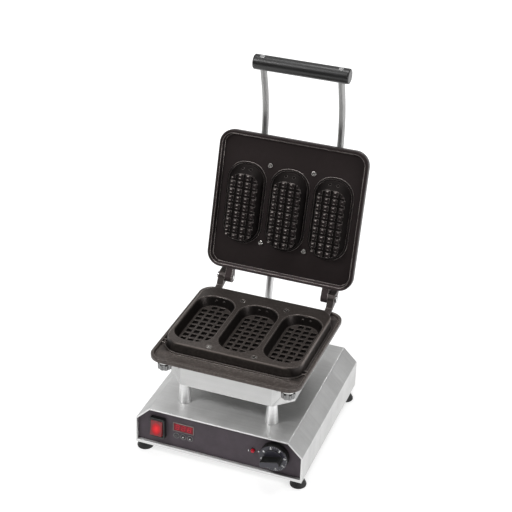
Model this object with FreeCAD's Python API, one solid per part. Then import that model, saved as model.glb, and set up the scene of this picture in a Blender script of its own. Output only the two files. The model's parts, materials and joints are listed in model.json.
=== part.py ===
import FreeCAD, Part
import math, os
from FreeCAD import Vector as V

os.makedirs("parts", exist_ok=True)

# ---------------------------------------------------------------- driving dimensions (mm)
# Drawing frame: x = 0 on the middle plane, y = 0 on the front edge of the base, z = 0 on its
# lower edge. Everything is moved at the end so that the origin is the bottom centre.
FOOT_H = 17.2          # feet below the base
Y_MID = 196.81         # middle of the overall depth, lid open

BASE_W = 320.0         # base box
BASE_D = 326.0
BASE_WALL_H = 53.5     # upright part of the side walls
BASE_TOP_Z = 80.3
BASE_TOP_W = 266.0
SHEET = 1.2
HEM = 2.6              # folded front edge of the shell
RAIL_H = 6.0           # folded rail below the control panel
PANEL_Y = 6.0          # control panel is set back by this much
PANEL_T = 2.0

FOOT_R = 15.1
FOOT_X = 149.0
FOOT_YF = 17.0
FOOT_YR = 299.0

POST_X = 83.8          # posts under the lower baking unit
POST_YF = 49.6
POST_YR = 245.0
POST_R0 = 12.3
POST_R1 = 9.0

SHROUD_Z0 = 121.0      # sheet tray of the lower unit
SHROUD_Z1 = 171.9
SHROUD_FRONT = 37.4
SHROUD_REAR = 263.6
SHROUD_HX = 119.5
SHROUD_FX = 87.0
SHROUD_CUT = 31.6

NUT_X = 117.0          # thumb nuts
NUT_Y = 36.0
NUT_R = 13.0
NUT_Z0 = 151.8
NUT_Z1 = 162.8

CAST_HX = 142.5        # lower casting
CAST_Y0 = 10.6
CAST_Y1 = 282.4
CAST_R = 27.0
CAST_UNDER = 172.0
CAST_RIM_BOT = 177.0
CAST_RIM_TOP = 183.7
GUTTER_Z = 178.5
BLOCK_TOP = 198.6
BLOCK_YC = 155.5
BLOCK_HX = 128.5
BLOCK_HY = 104.0
WELL_PITCH = 85.8
WELL_YC = 147.4
WELL_FLOOR = 180.0
PIT = 14.68
SCREW_X = 42.9
SCREW_YF = 62.4
SCREW_YR = 229.8

HINGE_Y = 298.0        # hinge axis, along x
HINGE_Z = 202.0
LID_OPEN = 74.46       # lid angle above the horizontal, towards the back
LID_OY = 295.2         # lower edge of the lid's rim face, lid open
LID_OZ = 222.1
LID_HX = 145.8
LID_L = 267.0
LID_R = 28.0
FIELD_H = -9.8         # recessed field of the lid plate
PLUG_S = 131.4
PLUG_FACE_S = 124.0
STUD = 14.6

ROD_X = 75.0           # handle
ROD_R = 6.25
ROD_H = -52.5
ROD_BEND_S = 225.0
ROD_BEND_R = 255.0
ROD_BEND_A = 30.6
GRIP_R = 14.2
GRIP_HX = 92.0

ROCKER_X, ROCKER_Z = -116.7, 42.5
ROCKER_TILT = -11.0
DISP_X, DISP_Z = -68.0, 50.4
KEY_X = (-81.9, -68.4, -54.9)
KEY_Z = 31.0
LAMP_X, LAMP_Z = 66.0, 41.8
KNOB_X, KNOB_Z = 108.6, 45.2
KNOB_R = 26.5

COND_X = -22.0         # lid conduit
COND_R = 7.0
COND_H = -30.0

# ---------------------------------------------------------------- helpers
def box(x0, x1, y0, y1, z0, z1):
    return Part.makeBox(x1 - x0, y1 - y0, z1 - z0, V(x0, y0, z0))


def cyl(p, d, r, h):
    return Part.makeCylinder(r, h, V(*p), V(*d))


def cone(p, d, r0, r1, h):
    return Part.makeCone(r0, r1, h, V(*p), V(*d))


def rrect(cx, cy, hw, hl, r, z):
    es, last, first = [], None, None
    for ax, ay, a in ((cx + hw - r, cy + hl - r, 0), (cx - hw + r, cy + hl - r, 90),
                      (cx - hw + r, cy - hl + r, 180), (cx + hw - r, cy - hl + r, 270)):
        pts = [V(ax + r * math.cos(math.radians(a + k)), ay + r * math.sin(math.radians(a + k)), z) for k in (0, 45, 90)]
        if last is not None:
            es.append(Part.LineSegment(last, pts[0]).toShape())
        else:
            first = pts[0]
        es.append(Part.Arc(*pts).toShape())
        last = pts[2]
    es.append(Part.LineSegment(last, first).toShape())
    return Part.Wire(es)


def prism(w, h):
    return Part.Face(w).extrude(V(0, 0, h))


def square(cx, cy, h, z):
    pts = [V(cx - h, cy - h, z), V(cx + h, cy - h, z), V(cx + h, cy + h, z), V(cx - h, cy + h, z)]
    return Part.makePolygon(pts + pts[:1])


def frustum(w0, w1):
    return Part.makeLoft([w0, w1], True, True)


def poly_x(pts, x0, x1):
    w = Part.makePolygon([V(x0, y, z) for y, z in pts] + [V(x0, *pts[0])])
    return Part.Face(w).extrude(V(x1 - x0, 0, 0))


def poly_y(pts, y0, y1):
    w = Part.makePolygon([V(x, y0, z) for x, z in pts] + [V(pts[0][0], y0, pts[0][1])])
    return Part.Face(w).extrude(V(0, y1 - y0, 0))


def poly_z(pts, z0, z1):
    w = Part.makePolygon([V(x, y, z0) for x, y in pts] + [V(pts[0][0], pts[0][1], z0)])
    return Part.Face(w).extrude(V(0, 0, z1 - z0))


def hexagon(p, d, across, h):
    s = Part.Face(Part.makePolygon([V(across / math.sqrt(3) * math.cos(math.radians(60 * k)),
                                      across / math.sqrt(3) * math.sin(math.radians(60 * k)), 0) for k in range(7)])).extrude(V(0, 0, h))
    s.Placement = FreeCAD.Placement(V(*p), FreeCAD.Rotation(V(0, 0, 1), V(*d)))
    return s


def path(points, bend):
    # straight runs joined by tangent arcs
    P = [V(*p) for p in points]
    es, start = [], P[0]
    for i in range(1, len(P) - 1):
        a, b = (P[i - 1] - P[i]), (P[i + 1] - P[i])
        a.normalize(), b.normalize()
        half = math.acos(max(-1, min(1, a.dot(b)))) / 2
        t = bend / math.tan(half)
        p0, p1 = P[i] + a * t, P[i] + b * t
        m = a + b
        m.normalize()
        mid = P[i] + m * (bend / math.sin(half) - bend)
        es.append(Part.LineSegment(start, p0).toShape())
        es.append(Part.Arc(p0, mid, p1).toShape())
        start = p1
    es.append(Part.LineSegment(start, P[-1]).toShape())
    return Part.Wire(es)


def pipe(wire, r):
    e = wire.OrderedEdges[0]
    p = e.valueAt(e.FirstParameter)
    d = e.tangentAt(e.FirstParameter)
    if (wire.OrderedVertexes[0].Point - p).Length > 1e-6:
        p, d = e.valueAt(e.LastParameter), e.tangentAt(e.LastParameter) * -1
    s = wire.makePipeShell([Part.Wire(Part.makeCircle(r, p, d))], True, True)
    return s


def edges_at(s, z, tol=1e-4):
    return [e for e in s.Edges if abs(e.BoundBox.ZMin - z) < tol and abs(e.BoundBox.ZMax - z) < tol]


def edges_at_y(s, y, tol=1e-4):
    return [e for e in s.Edges if abs(e.BoundBox.YMin - y) < tol and abs(e.BoundBox.YMax - y) < tol]


def group(shapes):
    return Part.makeCompound(shapes)


def both(f):
    return [f(-1), f(1)]


NODES = {}


def put(name, s):
    NODES[name] = s


def put_lid(name, s):
    # built flat in (x, s, h): s runs up the lid from the hinge edge, h out of its face
    s = s.copy()
    s.Placement = FreeCAD.Placement(V(0, LID_OY, LID_OZ), FreeCAD.Rotation(V(1, 0, 0), LID_OPEN)).multiply(s.Placement)
    NODES[name] = s


UY, UZ = math.cos(math.radians(LID_OPEN)), math.sin(math.radians(LID_OPEN))


def lid_point(s, h):
    return LID_OY + s * UY - h * UZ, LID_OZ + s * UZ + h * UY


def lid_local(y, z):
    return (y - LID_OY) * UY + (z - LID_OZ) * UZ, -(y - LID_OY) * UZ + (z - LID_OZ) * UY


# ---------------------------------------------------------------- base box
HB, HT = BASE_W / 2, BASE_TOP_W / 2


def base_profile(t, z0):
    # section of the base, drawn in by t on every side
    dx, dz = HB - HT, BASE_TOP_Z - BASE_WALL_H
    L = math.hypot(dx, dz)
    c = (dz * HB + dx * BASE_WALL_H) / L - t
    xs, zt = HB - t, BASE_TOP_Z - t
    zk = (c * L - dz * xs) / dx
    xk = (c * L - dx * zt) / dz
    return [(-xs, z0), (-xs, zk), (-xk, zt), (xk, zt), (xs, zk), (xs, z0)]


shell = poly_y(base_profile(0, 0), 0, BASE_D)
long_edges = [e for e in shell.Edges if e.BoundBox.YLength > 300 and e.BoundBox.ZMin > 10]
shell = shell.makeFillet(3.0, long_edges)
shell = shell.cut(poly_y(base_profile(SHEET, -5), -5, BASE_D + 5))
shell = shell.fuse(poly_y(base_profile(SHEET - 0.1, 0), 0, 5.5).cut(poly_y(base_profile(HEM, -5), -5, 10)))
shell = shell.fuse(box(-HB + SHEET / 2, HB - SHEET / 2, 0, 5.5, 0, RAIL_H))
for k in (-1, 1):
    x0, x1 = sorted((k * (HB - SHEET - 13), k * (HB - SHEET / 2)))
    shell = shell.fuse(box(x0, x1, 9, BASE_D - 8, 0, SHEET))
    for z0, z1 in ((6, 18), (40, 52)):
        x0, x1 = sorted((k * (HB - 20), k * (HB - SHEET / 2)))
        shell = shell.fuse(box(x0, x1, 316, 318.5, z0, z1))
cuts = [cyl((k * POST_X, y, 70), (0, 0, 1), 4.3, 20) for k in (-1, 1) for y in (POST_YF, POST_YR)]
LID_Y0, LID_Z0 = lid_point(7.0, COND_H)
COND_Y = LID_Y0 - UY * 70.0
cuts += [cyl((COND_X, COND_Y, 70), (0, 0, 1), 8.2, 20), cyl((0, 200, 70), (0, 0, 1), 9.2, 20)]
cuts += [cyl((k * FOOT_X, y, -5), (0, 0, 1), 2.6, 10) for k in (-1, 1) for y in (FOOT_YF, FOOT_YR)]
cuts += [cyl((k * 148, 310, z), (0, 1, 0), 1.6, 12) for k in (-1, 1) for z in (12, 46)]
put("base_shell", shell.cut(cuts).removeSplitter())

panel = poly_y(base_profile(SHEET + 0.4, 1.6), PANEL_Y, PANEL_Y + PANEL_T)
for k in (-1, 1):
    x0, x1 = sorted((k * 156.6, k * 158.2))
    panel = panel.fuse(box(x0, x1, PANEL_Y, 24, 4, 48))
cuts = [box(ROCKER_X - 13, ROCKER_X + 13, 0, 12, ROCKER_Z - 19.3, ROCKER_Z + 19.3),
        box(DISP_X - 19.2, DISP_X + 19.2, 0, 12, DISP_Z - 8.2, DISP_Z + 8.2),
        cyl((LAMP_X, 0, LAMP_Z), (0, 1, 0), 4.2, 12), cyl((KNOB_X, 0, KNOB_Z), (0, 1, 0), 5.2, 12)]
cuts += [cyl((x, 0, KEY_Z), (0, 1, 0), 4.7, 12) for x in KEY_X]
put("front_panel", panel.cut(cuts).removeSplitter())

GLAND_X, GLAND_Z = 100.0, 30.0
rear = poly_y(base_profile(SHEET + 0.4, 1.6), 319, 320.5)
cuts = [cyl((GLAND_X, 310, GLAND_Z), (0, 1, 0), 10.1, 20)]
cuts += [cyl((k * 148, 310, z), (0, 1, 0), 2.2, 20) for k in (-1, 1) for z in (12, 46)]
for i in range(7):
    w = rrect(-100 + 14 * i, 40, 2.5, 17, 2.4, 0)
    s = prism(w, 12)
    s.Placement = FreeCAD.Placement(V(0, 326, 0), FreeCAD.Rotation(V(1, 0, 0), 90))
    cuts.append(s)
put("rear_panel", rear.cut(cuts).removeSplitter())
put("rear_panel_screws", group([cyl((k * 148, 312, z), (0, 1, 0), 1.5, 8.6).fuse(
    cone((k * 148, 320.55, z), (0, 1, 0), 3.6, 2.6, 2.2)).cut(box(k * 148 - 0.5, k * 148 + 0.5, 321.6, 324, z - 5, z + 5))
    for k in (-1, 1) for z in (12, 46)]))

floor = box(-157, 157, 2, 324, -1.2, 0)
floor = floor.makeFillet(6, [e for e in floor.Edges if e.BoundBox.ZLength > 1])
cuts = [cyl((k * FOOT_X, y, -5), (0, 0, 1), 2.6, 10) for k in (-1, 1) for y in (FOOT_YF, FOOT_YR)]
cuts += [prism(rrect(-60 + 15 * i, 150, 3, 45, 2.9, -5), 10) for i in range(9)]
put("bottom_plate", floor.cut(cuts))


def foot(x, y):
    s = cone((x, y, -1.2), (0, 0, -1), 8.6, FOOT_R, 13.6).fuse(cyl((x, y, -14.8), (0, 0, -1), FOOT_R, FOOT_H - 14.8)).removeSplitter()
    s = s.makeFillet(1.0, edges_at(s, -FOOT_H))
    return s.cut([cyl((x, y, 0), (0, 0, -1), 2.7, 20), cyl((x, y, -FOOT_H - 1), (0, 0, 1), 6.2, FOOT_H + 1 - 9.4)])


FEET = [(k * FOOT_X, y) for k in (-1, 1) for y in (FOOT_YF, FOOT_YR)]
put("rubber_feet", group([foot(x, y) for x, y in FEET]))
put("foot_screws", group([cyl((x, y, -9.44), (0, 0, -1), 5.5, 3).fuse(cyl((x, y, -9.6), (0, 0, 1), 2.5, 14.6)).cut(
    box(x - 0.7, x + 0.7, y - 6, y + 6, -14, -11.3)) for x, y in FEET]))

# ---------------------------------------------------------------- control panel parts
X, Z = ROCKER_X, ROCKER_Z
h = box(X - 14.8, X + 14.8, -3, PANEL_Y - 0.02, Z - 21.2, Z + 21.2)
h = h.makeFillet(3.0, [e for e in h.Edges if e.BoundBox.YLength > 7])
h = h.makeFillet(1.8, edges_at_y(h, -3))
h = h.fuse(box(X - 12.8, X + 12.8, PANEL_Y - 0.02, 34, Z - 19, Z + 19))
h = h.cut([box(X - 11.4, X + 11.4, -6, 20, Z - 17.4, Z + 17.4), cyl((X - 12.3, 6, Z), (1, 0, 0), 1.56, 24.6)])
for dz in (-11, 0, 11):
    h = h.fuse(box(X - 3.2, X + 3.2, 34, 43, Z + dz - 0.4, Z + dz + 0.4))
put("switch_housing", h.removeSplitter())

PIV_Y = 6.0
r = poly_x([(-13.3, 14.6), (-12.3, 6), (-11.9, 0), (-12.3, -6), (-13.3, -14.6), (-3, -14.6), (2.5, -5), (2.5, 5), (-3, 14.6)], -11, 11)
r = r.makeFillet(1.2, [e for e in r.Edges if e.BoundBox.YMax < -5 and (abs(e.BoundBox.XMin) > 10.9 and abs(e.BoundBox.XMax) > 10.9)
                       and (e.BoundBox.XLength > 20 and abs(e.BoundBox.ZMin) > 14)])
r = r.fuse(cyl((-12.2, 0, 0), (1, 0, 0), 1.5, 24.4)).removeSplitter()
r.Placement = FreeCAD.Placement(V(X, PIV_Y, Z), FreeCAD.Rotation(V(1, 0, 0), ROCKER_TILT))
put("switch_rocker", r)

X, Z = DISP_X, DISP_Z
b = box(X - 20.5, X + 20.5, 4.7, PANEL_Y, Z - 9.5, Z + 9.5)
b = b.makeFillet(1.6, [e for e in b.Edges if e.BoundBox.YLength > 1])
b = b.makeChamfer(0.5, edges_at_y(b, 4.7))
bezel = b.cut(box(X - 19.05, X + 19.05, 0, 10, Z - 8.05, Z + 8.05))
w = box(X - 19, X + 19, 5.2, 8.4, Z - 8, Z + 8)
put("timer_window", w.makeFillet(0.5, edges_at_y(w, 5.2)))
m = box(X - 30, X + 30, 16, 17.6, 20, 64)
m = m.fuse([box(X - 19, X + 19, 8.6, 16, Z - 8, Z + 8)] + [box(x - 3, x + 3, 13.8, 16, KEY_Z - 3, KEY_Z + 3) for x in KEY_X]
           + [cyl((X + i * 27, PANEL_Y + PANEL_T, z), (0, 1, 0), 2.4, 8) for i in (-1, 1) for z in (23.5, 61)]
           + [box(X - 20, X + 20, 17.6, 26, 26, 40), cyl((X + 20, 17.6, 54), (0, 1, 0), 5, 11), cyl((X - 14, 17.6, 52), (0, 1, 0), 4, 9)])
put("timer_module", m.removeSplitter())
put("timer_trim", group([bezel] + [cyl((x, 5.3, KEY_Z), (0, 1, 0), 5.9, 0.7).cut(cyl((x, 0, KEY_Z), (0, 1, 0), 4.7, 10)) for x in KEY_X]))


def key(x):
    s = cyl((x, 4.0, KEY_Z), (0, 1, 0), 4.25, 6)
    s = s.makeFillet(0.7, edges_at_y(s, 4.0))
    return s.fuse([cyl((x, 8.5, KEY_Z), (0, 1, 0), 5.5, 1.5), cyl((x, 9, KEY_Z), (0, 1, 0), 1.6, 3.4)]).removeSplitter()


for x, n in zip(KEY_X, ("left", "mid", "right")):
    put("timer_button_" + n, key(x))

lb = cyl((LAMP_X, 4.9, LAMP_Z), (0, 1, 0), 4.9, PANEL_Y - 4.9).fuse(cyl((LAMP_X, PANEL_Y, LAMP_Z), (0, 1, 0), 4.05, 17))
lb = lb.cut(cyl((LAMP_X, 0, LAMP_Z), (0, 1, 0), 3.75, 8)).fuse([box(LAMP_X + i * 2.5 - 0.4, LAMP_X + i * 2.5 + 0.4, 23, 30, LAMP_Z - 1.4, LAMP_Z + 1.4) for i in (-1, 1)])
put("pilot_lamp_body", lb.removeSplitter())
ll = cyl((LAMP_X, 0.8, LAMP_Z), (0, 1, 0), 3.7, 7.1)
put("pilot_lamp_lens", ll.makeFillet(2.6, edges_at_y(ll, 0.8)))

X, Z = KNOB_X, KNOB_Z
t = box(X - 20, X + 20, 10, 34, Z - 24, Z + 22)
t = t.makeFillet(2, [e for e in t.Edges if e.BoundBox.YLength > 20])
t = t.fuse([cyl((X, 5.2, Z), (0, 1, 0), 5.1, 5.5), cyl((X, 8.05, Z), (0, 1, 0), 8, 2)])
t = t.fuse([box(X + dx - 3, X + dx + 3, 34, 42, Z + 10 - 0.4, Z + 10 + 0.4) for dx in (-10, 10)])
put("thermostat_body", t.cut(cyl((X, 0, Z), (0, 1, 0), 3.05, 22)).removeSplitter())
sh = cyl((X, -8.8, Z), (0, 1, 0), 3.0, 29.8)
put("thermostat_shaft", sh.cut(box(X - 4, X + 4, -10, 3, Z + 1.8, Z + 4)))

k = cyl((X, -8, Z), (0, 1, 0), KNOB_R, 13)
k = k.makeFillet(1.4, edges_at_y(k, -8))
k = k.cut(cyl((X, -5.4, Z), (0, 1, 0), 24.2, 13))
disc = cyl((X, -9.6, Z), (0, 1, 0), 18.0, 3)
disc = disc.makeFillet(0.8, edges_at_y(disc, -9.6))
g = poly_y([(-17.4, -5.6), (16.2, -5.6), (17.4, -4.2), (17.4, 4.2), (16.2, 5.6), (-17.4, 5.6), (-19.4, 0)], -28, -8)
g.translate(V(X, 0, Z))
g.rotate(V(X, 0, Z), V(0, 1, 0), -14)
g = g.makeFillet(1.4, edges_at_y(g, -28))
k = k.fuse([disc, g, cyl((X, -6, Z), (0, 1, 0), 7, 10.6)])
bore = cyl((X, -9.0, Z), (0, 1, 0), 3.03, 20).cut(box(X - 4, X + 4, -10, 3.05, Z + 1.83, Z + 4))
put("thermostat_knob", k.cut(bore).removeSplitter())

# ---------------------------------------------------------------- inside the base
tb = box(60, 132, 236, 262, 0, 22)
tb = tb.cut([cyl((67 + 11.6 * i, y, 14), (0, 0, 1), 3.2, 10) for i in range(6) for y in (242, 256)])
put("terminal_block", tb)
rl = box(-130, -74, 200, 246, 0, 34)
rl = rl.makeFillet(2, [e for e in rl.Edges if e.BoundBox.ZLength > 20])
rl = rl.fuse([box(-130 + 12 + 16 * i, -130 + 18 + 16 * i, 212, 212.8, 34, 42) for i in range(3)])
put("power_relay", rl.removeSplitter())
loom = [pipe(path([(ROCKER_X, 46, ROCKER_Z - 11), (ROCKER_X, 120, 20), (-60, 180, 14), (40, 215, 12), (67, 232, 12)], 12), 2.2),
        pipe(path([(ROCKER_X, 46, ROCKER_Z + 11), (ROCKER_X - 4, 130, 48), (-108, 180, 50), (-108, 206, 50)], 12), 2.2),
        pipe(path([(-68, 30, 45), (-68, 90, 40), (-20, 180, 24), (50, 225, 20), (74, 232, 18)], 12), 1.8),
        pipe(path([(KNOB_X - 10, 46, KNOB_Z + 10), (KNOB_X - 10, 120, 50), (110, 200, 30), (113, 232, 18)], 12), 2.0),
        pipe(path([(COND_X, COND_Y, 60), (COND_X, COND_Y, 40), (20, 285, 30), (80, 266, 12)], 9), 2.6)]
put("wiring_loom", group(loom))

gl = hexagon((GLAND_X, 320.55, GLAND_Z), (0, 1, 0), 26, 5).fuse([
    cyl((GLAND_X, 310, GLAND_Z), (0, 1, 0), 10, 12), hexagon((GLAND_X, 313.5, GLAND_Z), (0, 1, 0), 26, 5.45),
    cone((GLAND_X, 325.5, GLAND_Z), (0, 1, 0), 12, 9.5, 9)])
put("mains_gland", gl.cut(cyl((GLAND_X, 300, GLAND_Z), (0, 1, 0), 4.5, 50)).removeSplitter())

cg = hexagon((COND_X, COND_Y, BASE_TOP_Z + 0.03), (0, 0, 1), 20, 9).fuse([
    cyl((COND_X, COND_Y, 66), (0, 0, 1), 8, 20), hexagon((COND_X, COND_Y, 73.5), (0, 0, 1), 19, 5.5)])
put("conduit_base_gland", cg.cut([cyl((COND_X, COND_Y, 82.3), (0, 0, 1), COND_R + 0.06, 20), cyl((COND_X, COND_Y, 50), (0, 0, 1), 5.2, 60)]).removeSplitter())

cw = path([(COND_X, COND_Y, 82.4), (COND_X, COND_Y, LID_Z0 - UZ * 70.0), (COND_X, LID_Y0, LID_Z0)], 225.0)
put("lid_conduit", pipe(cw, COND_R).cut(pipe(cw, COND_R - 1.4)))

sl = cyl((0, 200, 74), (0, 0, 1), 9, 52).fuse([cyl((0, 200, BASE_TOP_Z + 0.03), (0, 0, 1), 13, 3), cyl((0, 200, SHROUD_Z0 - 3.03), (0, 0, 1), 13, 3)])
put("wire_sleeve", sl.cut(cyl((0, 200, 60), (0, 0, 1), 7.4, 90)).removeSplitter())

POSTS = [(k * POST_X, y) for k in (-1, 1) for y in (POST_YF, POST_YR)]


def post(x, y):
    s = cone((x, y, BASE_TOP_Z), (0, 0, 1), POST_R0, POST_R1, SHROUD_Z0 - BASE_TOP_Z)
    s = s.makeFillet(1.2, edges_at(s, BASE_TOP_Z))
    return s.cut(cyl((x, y, 70), (0, 0, 1), 4.15, 60))


put("support_posts", group([post(x, y) for x, y in POSTS]))
put("post_bolts", group([hexagon((x, y, 73.4), (0, 0, 1), 13, 5.6).fuse(cyl((x, y, 79), (0, 0, 1), 4.0, 51)).removeSplitter() for x, y in POSTS]))
put("post_nuts", group([hexagon((x, y, SHROUD_Z0 + SHEET + 0.03), (0, 0, 1), 13, 6.5).cut(cyl((x, y, 110), (0, 0, 1), 4.05, 30)) for x, y in POSTS]))

# ---------------------------------------------------------------- lower baking unit
def tray_outline(t):
    a = t * math.tan(math.radians(22.5))
    fx, hx, y0, y1 = SHROUD_FX - a, SHROUD_HX - t, SHROUD_FRONT + t, SHROUD_REAR - t
    yk0, yk1 = SHROUD_FRONT + SHROUD_CUT + a, SHROUD_REAR - SHROUD_CUT - a
    return [(-fx, y0), (fx, y0), (hx, yk0), (hx, yk1), (fx, y1), (-fx, y1), (-hx, yk1), (-hx, yk0)]


tray = poly_z(tray_outline(0), SHROUD_Z0, SHROUD_Z1).cut(poly_z(tray_outline(SHEET), SHROUD_Z0 + SHEET, SHROUD_Z1 + 5))
cuts = [cyl((x, y, 110), (0, 0, 1), 4.2, 20) for x, y in POSTS] + [cyl((0, 200, 110), (0, 0, 1), 9.2, 20)]
FT = V(SHROUD_HX - SHROUD_FX, SHROUD_CUT, 0)
FT.normalize()
FN = V(FT.y, -FT.x, 0)
for k in (-1, 1):
    # folded corner seam, a fine groove rising from the front corner
    q = Part.makeBox(34, 0.9, 0.9, V(-1, -0.45, -0.45))
    q.Placement = FreeCAD.Placement(V(SHROUD_FX, SHROUD_FRONT, SHROUD_Z0), FreeCAD.Rotation(FT * 23 + V(0, 0, 21), V(), V(FN.x, FN.y, 0), "XZY"))
    if k < 0:
        q = q.mirror(V(0, 0, 0), V(1, 0, 0))
    cuts.append(q)
put("lower_shroud", tray.cut(cuts).removeSplitter())


def ear(k):
    c = V(NUT_X, NUT_Y, 0)
    d = FN * -1
    reach = (V(SHROUD_FX, SHROUD_FRONT, 0) - c).dot(d) - 0.05
    tt = FT
    p = [c + tt * 11, c + tt * 11 + d * reach, c - tt * 11 + d * reach, c - tt * 11]
    s = poly_z([(v.x, v.y) for v in p], 164.0, 167.0).fuse(cyl((NUT_X, NUT_Y, 164), (0, 0, 1), 11, 3))
    p = [c + tt * 11 + d * reach, c - tt * 11 + d * reach, c - tt * 11 + d * (reach - 1.8), c + tt * 11 + d * (reach - 1.8)]
    s = s.fuse(poly_z([(v.x, v.y) for v in p], 150, 167)).cut(cyl((NUT_X, NUT_Y, 150), (0, 0, 1), 4.35, 30)).removeSplitter()
    return s if k > 0 else s.mirror(V(0, 0, 0), V(1, 0, 0))


put("clamp_ears", group(both(ear)))
put("clamp_studs", group([cyl((k * NUT_X, NUT_Y, 151.0), (0, 0, 1), 4.0, 22.6) for k in (-1, 1)]))


def thumb_nut(k):
    x = k * NUT_X
    s = cyl((x, NUT_Y, NUT_Z0), (0, 0, 1), NUT_R, NUT_Z1 - NUT_Z0)
    s = s.makeFillet(1.6, edges_at(s, NUT_Z0) + edges_at(s, NUT_Z1))
    lobes = [cyl((x + (NUT_R + 1.4) * math.cos(math.radians(45 * i + 14)), NUT_Y + (NUT_R + 1.4) * math.sin(math.radians(45 * i + 14)), NUT_Z0 - 1), (0, 0, 1), 3.7, 18)
             for i in range(8)]
    return s.cut([cyl((x, NUT_Y, NUT_Z0 - 1), (0, 0, 1), 4.06, 30)] + lobes).removeSplitter()


put("thumb_nut_left", thumb_nut(-1))
put("thumb_nut_right", thumb_nut(1))

pad = poly_z(tray_outline(4.0), 131, 150)
put("lower_insulation", pad.cut(cyl((0, 200, 120), (0, 0, 1), 12, 40)))


def serpentine(y0, y1, z, r):
    yb = y1 - 30
    es = [Part.LineSegment(V(-90, y0, z), V(-90, yb, z)).toShape(), Part.Arc(V(-90, yb, z), V(-60, yb + 30, z), V(-30, yb, z)).toShape(),
          Part.LineSegment(V(-30, yb, z), V(-30, y0 + 30, z)).toShape(), Part.Arc(V(-30, y0 + 30, z), V(0, y0, z), V(30, y0 + 30, z)).toShape(),
          Part.LineSegment(V(30, y0 + 30, z), V(30, yb, z)).toShape(), Part.Arc(V(30, yb, z), V(60, yb + 30, z), V(90, yb, z)).toShape(),
          Part.LineSegment(V(90, yb, z), V(90, y0, z)).toShape()]
    return pipe(Part.Wire(es), r).fuse([cyl((-90, y0 + 1, z), (0, -1, 0), 1.6, 10), cyl((90, y0 + 1, z), (0, -1, 0), 1.6, 10)])


put("lower_element", serpentine(72, 240, 157.9, 4))
hp = prism(rrect(0, 152, 105, 92, 10, 162.5), 9.45)
hp = hp.cut([cyl((k * SCREW_X, y, 150), (0, 0, 1), 3.05, 40) for k in (-1, 1) for y in (SCREW_YF + 0, SCREW_YR)])
put("lower_heat_plate", hp)
cap = pipe(path([(KNOB_X - 12, 34.2, 28), (KNOB_X - 12, 70, 28), (40, 150, 26), (3, 200, 26), (3, 200, 127), (60, 200, 127), (60, 196, 156.5), (60, 186, 156.5)], 3.4), 1.1)
put("thermostat_capillary", cap.fuse(cyl((60, 187, 156.5), (0, -1, 0), 3.0, 70)))
# the capillary passes up through the insulation
NODES["lower_insulation"] = NODES["lower_insulation"].cut(box(54, 66, 190, 206, 120, 160))

CYC = (CAST_Y0 + CAST_Y1) / 2
CHY = (CAST_Y1 - CAST_Y0) / 2
c = frustum(rrect(0, CYC, CAST_HX - 8, CHY - 8, CAST_R - 8, CAST_UNDER), rrect(0, CYC, CAST_HX, CHY, CAST_R, CAST_RIM_BOT))
c = c.fuse(prism(rrect(0, CYC, CAST_HX, CHY, CAST_R, CAST_RIM_BOT), CAST_RIM_TOP - CAST_RIM_BOT)).removeSplitter()
c = c.makeFillet(1.6, edges_at(c, CAST_RIM_TOP))
c = c.cut(frustum(rrect(0, CYC, CAST_HX - 7.0, CHY - 7.0, CAST_R - 7.0, GUTTER_Z), rrect(0, CYC, CAST_HX - 5.0, CHY - 5.0, CAST_R - 5.0, CAST_RIM_TOP + 0.2)))
trough = cyl((-137, 31, 217), (1, 0, 0), 40, 274).common(prism(rrect(0, CYC, CAST_HX - 7.0, CHY - 7.0, CAST_R - 7.0, 174), 12))
c = c.cut(trough)
ridge = prism(rrect(0, BLOCK_YC, BLOCK_HX + 6.6, BLOCK_HY + 7.4, 38, 176.2), 5.6)
ridge = ridge.makeFillet(0.9, edges_at(ridge, 181.8))
ridge = ridge.cut(prism(rrect(0, BLOCK_YC, BLOCK_HX + 4.4, BLOCK_HY + 5.2, 36, 170), 20)).cut(box(-200, 200, 70, 400, 100, 300))
block = frustum(rrect(0, BLOCK_YC, BLOCK_HX + 2.6, BLOCK_HY + 3.0, 33, 176.2), rrect(0, BLOCK_YC, BLOCK_HX, BLOCK_HY, 31, BLOCK_TOP))
block = block.makeFillet(2.0, edges_at(block, BLOCK_TOP))
dams = []
for k in (-1, 1):
    x0, x1 = sorted((k * 129.5, k * 136.4))
    dams += [box(x0, x1, 67, 69.6, 176.5, 182.6), box(x0, x1, 77.5, 80.1, 176.5, 182.6)]
boss = [cyl((k * NUT_X, NUT_Y, 167.2), (0, 0, 1), 10, 7) for k in (-1, 1)]
c = c.fuse([block, ridge] + dams + boss).removeSplitter()
cuts = []
for i in (-1, 0, 1):
    xc = i * WELL_PITCH
    cuts.append(frustum(rrect(xc, WELL_YC, 31, 73, 26, WELL_FLOOR), rrect(xc, WELL_YC, 37.6, 78.6, 32, BLOCK_TOP - 1.4)))
    cuts.append(frustum(rrect(xc, WELL_YC, 37.6, 78.6, 32, BLOCK_TOP - 1.4), rrect(xc, WELL_YC, 39.4, 80.4, 33.8, BLOCK_TOP + 0.4)))
for s in cuts:
    c = c.cut(s)
pits = []
for i in (-1, 0, 1):
    for j, n in ((-1.5, 8), (-0.5, 10), (0.5, 10), (1.5, 8)):
        for q in range(n):
            x, y = i * WELL_PITCH + j * PIT, WELL_YC + (q - (n - 1) / 2) * PIT
            pits.append(frustum(square(x, y, 4.2, 174.4), square(x, y, 5.4, WELL_FLOOR + 0.3)))
c = c.cut(pits)
bumps = []
for i in (-1, 0, 1):
    for j in (-0.5, 0.5):
        for e in (-1, 1):
            bumps.append(Part.makeSphere(2.6, V(i * WELL_PITCH + j * PIT, WELL_YC + e * 77.0, 189.5)))
c = c.fuse(bumps)
cuts = [cyl((k * NUT_X, NUT_Y, 160), (0, 0, 1), 4.03, 13.7) for k in (-1, 1)]
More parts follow.
